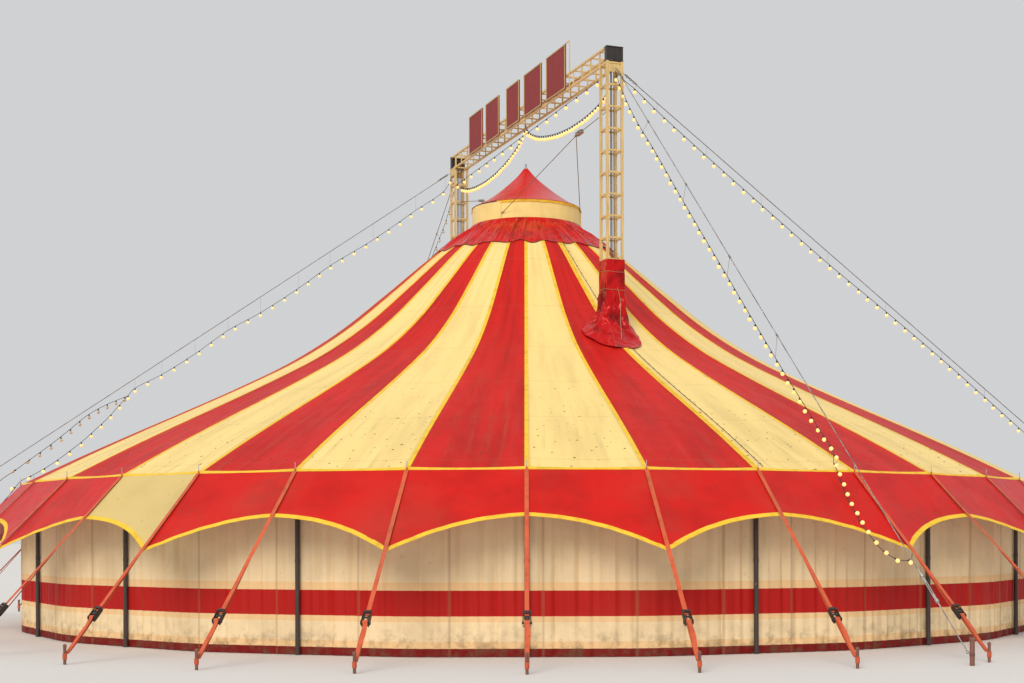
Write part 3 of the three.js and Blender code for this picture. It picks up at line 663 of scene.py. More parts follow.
def canopy_cloth(cloth):
    """Coated cloth in cream and red bays, with panel welds, folds along the pull and fallen dirt."""
    f = Finish("canopy_cloth", roughness=0.45)
    f.dull(0.15)
    across, along = f.cloth()
    place = f.place()
    height = f.parts(place)[2]
    red = (across % 2) > 1.0
    pull = f.vector(across * 2.2, along * 0.22)
    clouds = f.noise(pull, 1.6, 4.0, 0.55)
    cream = f.mix(cloth.cream, shade(cloth.cream, 0.86), clouds.ramp(0.4, 0.7))
    scarlet = f.mix(cloth.red, shade(cloth.red, 0.72), clouds.ramp(0.35, 0.72))
    stripe = f.mix(cream, scarlet, red)
    seam = ((across % 1) - 0.5).size().ramp(0.455, 0.495)
    stripe = f.mix(stripe, f.mix(stripe, (0.20, 0.10, 0.03), 0.4), seam)
    weld = ((along % 1.85) - 0.925).size().ramp(0.9, 0.912)
    stripe = f.mix(stripe, f.mix(stripe, (0.3, 0.15, 0.05), 0.12), weld)
    low = 1 - (height - EAVE_HEIGHT).ramp(0.0, 2.6)
    leaf_map = f.vector(across * 12.0, along * 7.0)
    leaves = f.noise(leaf_map, 1.6, 1.0, 0.4).ramp(0.725, 0.735) * (0.25 + low * 0.75)
    stripe = f.mix(stripe, (0.10, 0.06, 0.02), leaves)
    streaks = f.noise(f.vector(across * 9.0, along * 0.35), 1.3, 3.0, 0.6).ramp(0.5, 0.78)
    stripe = f.mix(stripe, f.mix(stripe, (0.22, 0.15, 0.07), 0.35), streaks * (0.2 + low * 0.6))
    f.colour(stripe)
    f.set("Roughness", 0.4 + f.noise(place, 3.0, 3.0) * 0.18 + leaves * 0.3)
    folds = f.noise(f.vector(across * 3.0, along * 0.16), 1.4, 2.0, 0.4)
    f.bump(folds + weave(f, place, 900.0) * 0.004 + weld * 0.02 + leaves * 0.06, 0.035, 0.7)
    return f.material


def plain_cloth(name, colour, gloss, crumple, hollow_shade, soil=0.05, size=1.0):
    """Coated cloth of one colour: sharp creases where bent noise turns over, painted shade darkening the
    hollows, and a gloss in the cloth's own hue."""
    f = Finish(name, roughness=gloss)
    f.dull(0.35 if gloss > 0.15 else 0.6)
    f.shader.inputs["Specular Tint"].default_value = (*(0.25 + 0.75 * c for c in unit(colour)), 1.0)
    place = f.place()
    bend = f.noise(place, 1.7 * size, 2.0)
    x, y, height = f.parts(place)
    bent = f.vector(x + bend * 0.45, y - bend * 0.45, height * 0.6)
    broad = f.noise(bent, 1.9 * size, 1.5, 0.5)
    fine = f.noise(bent, 4.6 * size, 2.0, 0.5)
    creases = 1 - ((broad - 0.5).size() * 3.0 + (fine - 0.5).size() * 1.2)
    # Painted shade: the colour is darkened in the hollows between the creases.
    base = f.mix(shade(colour, 1 - hollow_shade), colour, creases.ramp(0.2, 0.8))
    f.colour(soiled(f, base, place, soil))
    f.set("Roughness", gloss - 0.04 + fine * 0.1)
    f.bump(creases + weave(f, place, 900.0) * 0.003, crumple, 0.8)
    return f.material


def valance_cloth(cloth):
    """Red coated cloth with one tan bay, creased towards the corners and dusty at its lower edge."""
    f = Finish("valance_cloth", roughness=0.4)
    f.dull(0.2)
    across, along = f.cloth()
    place = f.place()
    tan = (across - TAN_BAY).size() < 0.5
    clouds = f.noise(f.vector(across * 1.5, along * 0.8), 1.7, 4.0, 0.55)
    red = f.mix(cloth.red, shade(cloth.red, 0.78), clouds.ramp(0.35, 0.75))
    base = f.mix(red, shade(cloth.cream, 0.72), tan)
    seam = ((across % 1) - 0.5).size().ramp(0.485, 0.496)
    base = f.mix(base, f.mix(base, (0.1, 0.02, 0.01), 0.45), seam)
    f.colour(soiled(f, base, place, 0.3))
    f.set("Roughness", 0.3 + f.noise(place, 4.0) * 0.2)
    pulls = f.noise(f.vector(across * 6.0, along * 0.5), 1.2, 3.0, 0.5)
    f.bump(pulls + weave(f, place, 900.0) * 0.004 + seam * 0.03, 0.018, 0.6)
    return f.material


def wall_cloth(cloth):
    """Cream wall with its golden strips, red waist band, dark red foot flap, joins and rain marks."""
    f = Finish("wall_cloth", roughness=0.6)
    f.dull(0.25)
    across = f.cloth()[0]
    place = f.place()
    height = f.parts(place)[2]
    clouds = f.noise(place, 1.1, 4.0, 0.55)
    cream = f.mix(cloth.wall, shade(cloth.wall, 0.88), clouds.ramp(0.4, 0.7))

    def between(low, high):
        return height.ramp(low - 0.003, low + 0.003) * (1 - height.ramp(high - 0.003, high + 0.003))

    strips = between(1.06, 1.19) + between(0.555, 0.647) + between(0.133, 0.245)
    base = f.mix(cream, (0.80, 0.40, 0.10), strips.kept(0, 1) * 0.4)
    base = f.mix(base, shade(cloth.red, 0.72), between(0.647, 1.06))
    base = f.mix(base, shade(cloth.red, 0.30), 1 - height.ramp(0.13, 0.136))
    off_middle = ((across % 1.5) - 0.75).size()
    join = off_middle.ramp(0.735, 0.742)
    base = f.mix(base, f.mix(base, (0.25, 0.13, 0.05), 0.35), join)
    stitch = ((height * 160.0).sine() > 0.2) * off_middle.ramp(0.722, 0.727) * (1 - join)
    base = f.mix(base, (0.30, 0.18, 0.08), stitch * 0.5)
    splash = (1 - height.ramp(0.0, 0.7)) * f.noise(place, 5.0, 4.0, 0.65).ramp(0.42, 0.7)
    base = f.mix(base, f.mix(base, (0.12, 0.08, 0.04), 0.6), splash)
    f.colour(soiled(f, base, place, 0.14))
    f.set("Roughness", 0.5 + clouds * 0.2)
    f.bump(clouds * 0.6 + weave(f, place, 900.0) * 0.004 + join * 0.05, 0.02, 0.7)
    return f.material


def webbing(name, colour, soil=0.12, ribs=260.0):
    """Woven webbing: ribs along its length, a herringbone across it, and stitches near both edges."""
    f = Finish(name, roughness=0.75)
    across, along = f.cloth()
    place = f.place()
    rib = (across * 60.0).sine()
    cross = (along * ribs + (across * 12.0).sine() * 2.0).sine()
    edge = ((across % 0.5) - 0.25).size()
    stitch = edge.ramp(0.12, 0.14) * ((along * 180.0).sine() > 0.1) * (1 - edge.ramp(0.16, 0.18))
    worn = f.noise(place, 6.0, 4.0, 0.6).ramp(0.4, 0.75)
    base = f.mix(colour, shade(colour, 0.72), worn)
    base = f.mix(base, shade(colour, 1.35), (cross > 0.3) * 0.25)
    base = f.mix(base, shade(colour, 0.4), stitch * 0.6)
    f.colour(soiled(f, base, place, soil))
    f.set("Roughness", 0.66 + worn * 0.2)
    f.bump(rib * 0.3 + cross * 0.5 + stitch * 0.6, 0.0012, 0.7)
    return f.material


def rope(name, colour, turns=420.0):
    """Laid rope: slanted strands round it, with fibres, and painted shade darkening the grooves."""
    f = Finish(name, roughness=0.85)
    across, along = f.cloth()
    strand = (along * turns + across * 18.85).sine()
    fibres = f.noise(f.vector(across * 30.0, along * 60.0), 4.0, 2.0)
    # Painted shade: the grooves between the strands are darkened.
    base = f.mix(shade(colour, 0.35), colour, strand.ramp(-0.8, 0.3))
    f.colour(f.mix(base, shade(colour, 1.3), fibres.ramp(0.55, 0.8) * 0.5))
    f.set("Roughness", 0.75 + fibres * 0.2)
    f.bump(strand + fibres * 0.4, 0.002, 0.8)
    return f.material


def painted(name, colour, under, wear=0.5, gloss=0.4, scale=1.0):
    """Painted steel: brush streaks, chips down to the metal below and rust runs from them."""
    f = Finish(name, roughness=gloss)
    place = f.place()
    x, y, height = f.parts(place)
    chips = f.noise(place, 14.0 * scale, 4.0, 0.7).ramp(0.66, 0.70) * wear
    runs = f.noise(f.vector(x * 9.0, y * 9.0, height * 0.9), 2.0 * scale, 4.0, 0.6).ramp(0.5, 0.74) * wear
    streaks = f.noise(f.vector(x * 40.0, y * 40.0, height * 2.0), 1.5, 2.0)
    base = f.mix(colour, shade(colour, 0.72), streaks.ramp(0.35, 0.75))
    base = f.mix(base, f.mix(base, (0.17, 0.06, 0.02), 0.6), runs * 0.7)
    f.colour(f.mix(base, under, chips))
    f.set("Metallic", chips * 0.5)
    f.set("Roughness", gloss - 0.05 + streaks * 0.15 + chips * 0.3)
    f.bump(streaks * 0.25 - chips, 0.0015, 0.6)
    return f.material


def steel(name, colour, rust=0.3, gloss=0.45):
    """Bare or galvanised steel: spangled zinc, dull patches and rust in the corners."""
    f = Finish(name, roughness=gloss, metallic=0.85)
    place = f.place()
    spangle = f.node("ShaderNodeTexVoronoi", None, {"Vector": place, "Scale": 60.0})
    patches = f.noise(place, 7.0, 4.0, 0.6)
    red = patches.ramp(0.55, 0.7) * rust
    base = f.mix(colour, shade(colour, 0.65), spangle.ramp(0.2, 0.8) * 0.6)
    f.colour(f.mix(base, (0.20, 0.07, 0.025), red))
    f.set("Metallic", 0.85 - red * 0.75)
    f.set("Roughness", gloss + red * 0.35 + spangle * 0.12)
    f.bump(patches + spangle * 0.2, 0.001, 0.5)
    return f.material


def wire(name, colour):
    """Wire rope: bright slanted strands with painted shade darkening the grooves between them."""
    f = Finish(name, roughness=0.4, metallic=0.8)
    across, along = f.cloth()
    strand = (along * 300.0 + across * 37.7).sine()
    grime = f.noise(f.place(), 5.0, 3.0).ramp(0.4, 0.7)
    # Painted shade: the grooves between the strands are darkened.
    base = f.mix(shade(colour, 0.25), colour, strand.ramp(-0.7, 0.2))
    f.colour(f.mix(base, (0.10, 0.05, 0.03), grime * 0.5))
    f.set("Roughness", 0.35 + grime * 0.3)
    f.bump(strand, 0.0015, 0.8)
    return f.material


def rubber(name, colour):
    """Cable sheath: matt, scuffed and faintly ringed."""
    f = Finish(name, roughness=0.6)
    along = f.cloth()[1]
    scuffs = f.noise(f.place(), 12.0, 3.0)
    f.colour(f.mix(colour, shade(colour, 2.2), scuffs.ramp(0.5, 0.75)))
    f.set("Roughness", 0.5 + scuffs * 0.25)
    f.bump(scuffs + (along * 500.0).sine() * 0.1, 0.0006, 0.5)
    return f.material


def glowing(name, colour, brightness):
    """Bulb glass, lit from inside where it has a brightness: warmer towards its neck."""
    f = Finish(name, roughness=0.15, coat_weight=0.4)
    neck = f.cloth()[1].ramp(0.0, 3.0)
    f.colour(f.mix(shade(colour, 0.7), colour, neck))
    f.set("Emission Color", f.mix(shade(colour, 0.75), colour, neck))
    f.shader.inputs["Emission Strength"].default_value = brightness
    return f.material


# Settings

def tint(label, default, note):
    return bpy.props.FloatVectorProperty(
        name=label, description=note, default=default, size=3, min=0, max=1, subtype="COLOR",
    )


def length_of(label, default, note):
    return bpy.props.FloatProperty(name=label, description=note, default=default, min=0, unit="LENGTH")


def strength_of(label, default, note):
    return bpy.props.FloatProperty(name=label, description=note, default=default, min=0)


class ClothSettings(bpy.types.PropertyGroup):
    """Colours and sizes of everything sewn."""

    cream: tint("Cream", (0.90, 0.67, 0.25), "Cream bays of the canopy")
    red: tint("Red", (0.60, 0.008, 0.004), "Red bays and the valance")
    gold: tint("Gold", (0.88, 0.53, 0.025), "Seam webbing and binding")
    wall: tint("Wall", (0.86, 0.67, 0.40), "Side walls")
    dark_red: tint("Dark red", (0.50, 0.005, 0.006), "Mast boots")
    thickness: length_of("Cloth", 0.004, "Thickness of the cloth")
    bay_dip: length_of("Bay dip", 0.022, "How far a bay of the canopy dips between its seams at the eave")
    fold_depth: length_of("Fold depth", 0.034, "Half the depth of the side wall's folds")
    seam_width: length_of("Seam width", 0.068, "Width of the webbing along the canopy's seams")


class MetalSettings(bpy.types.PropertyGroup):
    """Colours of frames, poles and fittings."""

    mast: tint("Mast", (0.74, 0.52, 0.20), "Cream yellow paint of masts and truss")
    black: tint("Black", (0.025, 0.02, 0.018), "Mast heads and ratchets")
    pole: tint("Pole", (0.05, 0.035, 0.03), "Side poles")
    zinc: tint("Zinc", (0.50, 0.48, 0.45), "Galvanised steel")
    stake: tint("Stake", (0.22, 0.09, 0.06), "Stakes and anchors")
    strap: tint("Strap", (0.62, 0.10, 0.03), "Webbing of the straps")


class LightSettings(bpy.types.PropertyGroup):
    """Bulbs and their spacing."""

    glow: tint("Glow", (1.0, 0.62, 0.20), "Colour of the lit bulbs")
    glass: tint("Glass", (0.62, 0.50, 0.34), "Colour of the bulbs that are out")
    bulb_radius: length_of("Bulb radius", 0.036, "Radius of a bulb's globe")
    right_spacing: length_of("Right spacing", 0.28, "Distance between bulbs on the right string")
    left_spacing: length_of("Left spacing", 0.36, "Distance between bulbs on the left string")
    low_spacing: length_of("Low spacing", 0.55, "The same where that string has left its guy")
    unlit_spacing: length_of("Unlit spacing", 0.5, "Distance between bulbs on the short string above it")
    front_spacing: length_of("Front spacing", 0.223, "Distance between bulbs on the front string")
    back_spacing: length_of("Back spacing", 0.26, "Distance between bulbs on the back string")
    swag_spacing: length_of("Swag spacing", 0.14, "Distance between bulbs on the hanging strings")
    ridge_spacing: length_of("Ridge spacing", 0.545, "Distance between bulbs under the truss")
    brightness: strength_of("Brightness", 0.8, "Strength of the bulbs' light")


class StageSettings(bpy.types.PropertyGroup):
    """Floor, light and camera."""

    floor: tint("Floor", (0.72, 0.70, 0.67), "Plain pale floor")
    sun: strength_of("Key light", 2.1, "Strength of the key light")
    sky: strength_of("Fill light", 0.68, "Strength of the fill light")
    distance: length_of("Camera distance", 35.94, "Camera's distance from the tent's middle")
    eye: length_of("Eye height", 1.936, "Camera's height over the ground")


# Canopy

canopy_height = smooth(CANOPY_LINE)


def canopy_point(bays, radius, dip, lift=0.0):
    """Upper side of the canopy: seams lie on the turned line, and between them the cloth follows the
    chord and dips along its normal by a parabola across the bay. Lift raises it along the normal."""
    share = np.mod(bays, 1)
    step = 0.01
    slope = (canopy_height(radius + step) - canopy_height(radius - step)) / (2 * step)
    length = np.sqrt(1 + slope ** 2)
    off = lift - dip * radius / EAVE_RADIUS * 4 * share * (1 - share)
    r = radius * chord(bays) - off * slope / length
    z = canopy_height(radius) + off / length
    return polar(np.radians(bays * BAY), r, z)


def cloth_distance(radius):
    """Distance along the canopy's line from the ring to each radius."""
    fine = np.linspace(CANOPY_LINE[0][0], EAVE_RADIUS, 400)
    run = np.concatenate([[0], np.cumsum(np.hypot(np.diff(fine), np.diff(canopy_height(fine))))])
    return np.interp(radius, fine, run)


def cut(thing, blocks):
    """Takes closed blocks out of an object, and leaves the result as its mesh."""
    tool = piece("cutter", joined(*blocks), None)
    change = thing.modifiers.new("cut", "BOOLEAN")
    change.operation = "DIFFERENCE"
    change.solver = "EXACT"
    change.object = tool
    bpy.context.view_layer.update()
    made = bpy.data.meshes.new_from_object(
        thing.evaluated_get(bpy.context.evaluated_depsgraph_get()),
    )
    thing.modifiers.clear()
    thing.data = made
    bpy.data.objects.remove(tool)


class BIGTOP_OT_canopy(bpy.types.Operator):
    """Both halves of the canopy, each one curved sheet with openings for the masts"""

    bl_idname = "bigtop.canopy"
    bl_label = "Canopy"

    def execute(self, context):
        cloth = context.scene.bigtop_cloth
        material = canopy_cloth(cloth)
        radius = np.linspace(CANOPY_LINE[0][0], EAVE_RADIUS - 0.002, 60)
        run = cloth_distance(radius)
        opening = rounded_box((MAST_OPENING, MAST_OPENING, 4.0), (0, 0, 6.5), 0.002)
        for name, first in zip(("canopy_right_half", "canopy_left_half"), LACED_SEAMS):
            bays = bays_from(first, SIDE_BAYS, 8)
            top = canopy_point(bays[None], radius[:, None], cloth.bay_dip)
            shape = cloth_sheet(top, cloth.thickness, bays[None], run[:, None])
            sheet = piece(name + "_cloth", shape, material, replaces=[name])
            cut(sheet, [at_mast(opening, end) for end in (0, 1)])
            sheet_area(top)
        return {"FINISHED"}


class BIGTOP_OT_seams(bpy.types.Operator):
    """Webbing along the canopy's seams, and the lacing beside the two seams that open"""

    bl_idname = "bigtop.seams"
    bl_label = "Seams"

    def execute(self, context):
        cloth = context.scene.bigtop_cloth
        gold = webbing("gold_webbing", cloth.gold)
        radius = np.linspace(1.32, EAVE_RADIUS - 0.03, 56)
        plain = [k for k in range(BAYS) if k not in LACED_SEAMS]
        path = canopy_point(np.zeros(56), radius, 0, 0.002)
        up = canopy_point(np.zeros(56), radius, 0, 1.0) - path
        strip = carried(path, flat_section(cloth.seam_width, 0.004), up)
        piece("canopy_seam_webbing", around(strip, plain), gold)
        self.laced(gold, radius, up)
        return {"FINISHED"}

    def laced(self, gold, radius, up):
        """Laced seams: two strips side by side on the seam, and beside them in the cream bay a thin cord
        that runs straight through small loops at equal distances."""
        def beside(radius, shift, lift):
            path = canopy_point(np.zeros(len(radius)), radius, 0, lift)
            path[:, 0] += shift
            return path

        strips = joined(*(
            carried(beside(radius, side * 0.026, lift), flat_section(0.05, 0.005), up)
            for side, lift in ((-1, 0.004), (1, 0.008))
        ))
        piece("laced_seam_edges", around(strips, LACED_SEAMS), gold)
        r = np.linspace(2.1, 10.9, 161)
        lift = canopy_point(np.zeros(len(r)), r, 0, 1.0) - canopy_point(np.zeros(len(r)), r, 0, 0)
        shift = 0.06 + 0.09 * np.clip((r - 2.1) / 2, 0, 1)
        line = beside(r, shift, 0.010)
        cord = carried(line, circle(0.005, 6), lift)
        ring = np.linspace(0, 2 * np.pi, 9)[:-1]
        loop = carried(np.stack([0.014 * np.cos(ring), 0.010 * np.sin(ring), 0 * ring], axis=-1),
                       circle(0.003, 5), (0, 0, 1), closed=True)
        places = line[2::4] + [0.008, 0, 0]
        tops = lift[2::4]
        frames = frames_at(places, [1, 0, 0], unit(np.cross(tops, [1.0, 0, 0])), unit(tops))
        lacing = joined(cord, loop.repeated(frames))
        piece("seam_lacing", around(lacing, LACED_SEAMS), rope("lacing_cord", (0.07, 0.045, 0.03)))


class BIGTOP_OT_eave(bpy.types.Operator):
    """Golden binding that wraps the canopy's edge"""

    bl_idname = "bigtop.eave"
    bl_label = "Eave binding"

    def execute(self, context):
        cloth = context.scene.bigtop_cloth
        bays = np.arange(BAYS * 8) / 8
        path = canopy_point(bays, np.full(len(bays), EAVE_RADIUS - 0.002), cloth.bay_dip)
        section = [
            (-0.072, 0.0370), (-0.072, 0.0410), (0.003, 0.0050), (0.0065, 0.0015),
            (0.0065, -0.040), (0.0030, -0.040), (0.0025, -0.0005), (-0.001, 0.0018),
        ]
        shape = carried(path, section, (0, 0, 1), closed=True)
        piece("eave_binding", shape, webbing("eave_tape", cloth.gold))
        return {"FINISHED"}


# Valance

def valance_edge(bays):
    """Share of the valance's fall that its arched edge reaches: a power curve between odd seams."""
    side = np.abs(np.mod(bays + 1, 2) - 1)
    height = ARCH_HEIGHT - (ARCH_HEIGHT - CORNER[1]) * side ** ARCH_ROUNDNESS
    return (VALANCE_TOP - height) / (VALANCE_TOP - CORNER[1])


def valance_point(bays, fall, lift=0.0):
    """Valance: straight from the eave down to its corners, following the chord of each bay, with a
    belly towards the wall and soft folds that grow towards the edge. Fall is 1 at the corners."""
    share = np.mod(bays, 1)
    middle = 4 * share * (1 - share)
    side = np.abs(np.mod(bays + 1, 2) - 1)
    folds = np.sin(bays * 2 * np.pi * 3 + 2.5 * fall) * 0.5 + np.sin(bays * 2 * np.pi * 5.3 + 1.7)
    off = lift - 0.035 * middle * np.minimum(1, 2 * fall) + 0.006 * folds * middle * fall * (0.4 + side)
    out, down = CORNER[0] - EAVE_RADIUS, VALANCE_TOP - CORNER[1]
    length = math.hypot(out, down)
    r = (EAVE_RADIUS + out * fall) * chord(bays) + off * down / length
    z = VALANCE_TOP - down * fall + off * out / length
    return polar(np.radians(bays * BAY), r, z)


class BIGTOP_OT_valance(bpy.types.Operator):
    """Red border in arches of two bays, with golden binding along its edge"""

    bl_idname = "bigtop.valance"
    bl_label = "Valance"

    def execute(self, context):
        cloth = context.scene.bigtop_cloth
        material = valance_cloth(cloth)
        gold = webbing("valance_tape", cloth.gold)
        fall_length = math.hypot(CORNER[0] - EAVE_RADIUS, VALANCE_TOP - CORNER[1])
        for name, first in QUARTERS.items():
            bays = bays_from(first, QUARTER_BAYS, 16)
            edge = valance_edge(bays)
            fall = np.linspace(0.002, 1, 15)[:, None] * edge[None]
            top = valance_point(bays[None], fall)
            hem = valance_point(bays, edge - 0.020, 0.002)
            up = valance_point(bays, edge, 1.0) - valance_point(bays, edge)
            binding = piece("valance_binding_" + name, carried(hem, flat_section(0.084, 0.009), up),
                            gold)
            shape = cloth_sheet(top, cloth.thickness, bays[None], fall * fall_length)
            sheet = piece("valance_cloth_" + name, shape, material, replaces=["valance_" + name])
            sheet_area(top)
        return {"FINISHED"}


# Side walls and poles

def wall_point(bays, height, depth):
    """Side wall: it passes inside the poles of the even seams and outside those of the odd ones by a
    cosine, and its folds are a sum of sines across it that are pinched at the rope and die out
    beside the poles."""
    metres = bays * math.radians(BAY) * POLE_CIRCLE
    near = np.abs(bays - np.round(bays)) * math.radians(BAY) * POLE_CIRCLE
    free = np.clip((near - 0.05) / 0.16, 0, 1)
    free = free * free * (3 - 2 * free)
    sway = 0.6 * np.sin(metres * 0.9 + 1.3) + 0.4 * np.sin(metres * 2.1)
    fold = (
        np.sin(metres * 2 * np.pi / 0.21 + sway * 2 + 0.4 * height)
        + 0.55 * np.sin(metres * 2 * np.pi / 0.34 + 1.1 - 0.7 * height)
        + 0.35 * np.sin(metres * 2 * np.pi / 0.125 + 2 * sway)
    ) / 1.5
    size = 0.35 + 0.65 * np.sin(np.pi * np.clip(height / WALL_TOP, 0, 1) * 0.86 + 0.25)
    pinch = 1 - 0.6 * np.clip((height - 2.5) / 0.36, 0, 1)
    waist = 1 - 0.35 * np.exp(-(((height - 0.85) / 0.25) ** 2))
    off = depth * fold * free * size * pinch * waist
    weave_in = -(POLE_RADIUS + 0.011) * np.cos(np.pi * bays)
    share = np.mod(bays, 1)
    inward = 1 - 0.55 * (1 - math.cos(HALF_BAY)) * 4 * share * (1 - share)
    return polar(np.radians(bays * BAY), (POLE_CIRCLE + weave_in) * inward + off, height)


class BIGTOP_OT_walls(bpy.types.Operator):
    """Gathered side walls in four lengths, with the tabs that they hang by"""

    bl_idname = "bigtop.walls"
    bl_label = "Side walls"

    def execute(self, context):
        cloth = context.scene.bigtop_cloth
        material = wall_cloth(cloth)
        tape = webbing("wall_tabs", cloth.wall)
        for name, first in QUARTERS.items():
            bays = bays_from(first, QUARTER_BAYS, 64)
            height = np.linspace(WALL_TOP, 0.003, 15)
            top = wall_point(bays[None], height[:, None], cloth.fold_depth)
            metres = bays * math.radians(BAY) * POLE_CIRCLE
            shape = cloth_sheet(top, cloth.thickness, metres[None], height[:, None])
            hung = piece("wall_tabs_" + name, self.tabs(first, cloth.fold_depth), tape)
            sheet = piece("side_wall_cloth_" + name, shape, material, replaces=["side_wall_" + name])
        return {"FINISHED"}

    def tabs(self, first, depth):
        """Short upright straps from the wall's top to its rope, seven in each bay."""
        share = (np.arange(7) + 0.5) / 7
        bays = (first + np.arange(QUARTER_BAYS)[:, None] + share[None]).ravel()
        low = wall_point(bays, np.full(len(bays), WALL_TOP - 0.03), depth)
        high = polar(np.radians(bays * BAY), POLE_CIRCLE * chord(bays), WALL_ROPE_HEIGHT + 0.008)
        return rods(low, high, 0.009, 6)


class BIGTOP_OT_poles(bpy.types.Operator):
    """Round side poles with collars and caps, and the rope between them"""

    bl_idname = "bigtop.poles"
    bl_label = "Side poles"

    def execute(self, context):
        metal = context.scene.bigtop_metal
        dark = painted("pole_paint", metal.pole, (0.30, 0.28, 0.26), wear=0.7, gloss=0.45)
        fibre = rope("wall_rope", (0.32, 0.24, 0.14))
        r = POLE_RADIUS - 0.001
        outline = [
            (0, 0.001), (r, 0.001), (r, 0.05), (r - 0.004, 0.052), (r - 0.004, 1.50),
            (r, 1.502), (r, 1.56), (r - 0.004, 1.562), (r - 0.004, 2.93), (r, 2.932),
            (r, 2.975), (r - 0.012, 2.988), (0, 2.989),
        ]
        pole = stood(outline, 20, POLE_CIRCLE)
        for name, first in QUARTERS.items():
            seams = np.arange(first, first + QUARTER_BAYS)
            piece("poles_" + name, around(pole, seams), dark, replaces=["side_poles_" + name],
                  crease=30)
            ends = np.arange(first, first + QUARTER_BAYS + 1)
            corner = polar(np.radians(ends * BAY), POLE_CIRCLE, WALL_ROPE_HEIGHT)
            t = np.linspace(0, 1, 9)[:, None]
            spans = [
                carried(corner[i] + (corner[i + 1] - corner[i]) * t - [0, 0, 1] * (0.012 * 4 * t * (1 - t)),
                        circle(0.009, 8), (0, 0, 1))
                for i in range(QUARTER_BAYS)
            ]
            hitch = stood([(r, -0.02), (r + 0.012, -0.014), (r + 0.012, 0.014), (r, 0.02)], 16,
                          POLE_CIRCLE, WALL_ROPE_HEIGHT)
            piece("wall_rope_" + name, joined(*spans, around(hitch, seams)), fibre)
        return {"FINISHED"}


# Straps, ratchets and stakes

def strap_point(share, lift=0.0):
    """Point of the front strap's line from the eave pin to the stake, raised square to the line."""
    a = np.array([0, -STRAP_TOP[0], STRAP_TOP[1]])
    b = np.array([0, -STRAP_FOOT[0], STRAP_FOOT[1]])
    along = unit(b - a)
    up = np.cross([1, 0, 0], along) * -1
    up = up if up[2] > 0 else -up
    return a + np.asarray(share)[..., None] * (b - a) + np.asarray(lift)[..., None] * up


def strap_frame(share):
    """Matrix at a share of the strap's line: X sideways, Y down the line, Z away from the tent."""
    down = strap_point(1.0) - strap_point(0.0)
    return frame_at(strap_point(share), down, strap_point(0.0, 1.0) - strap_point(0.0))


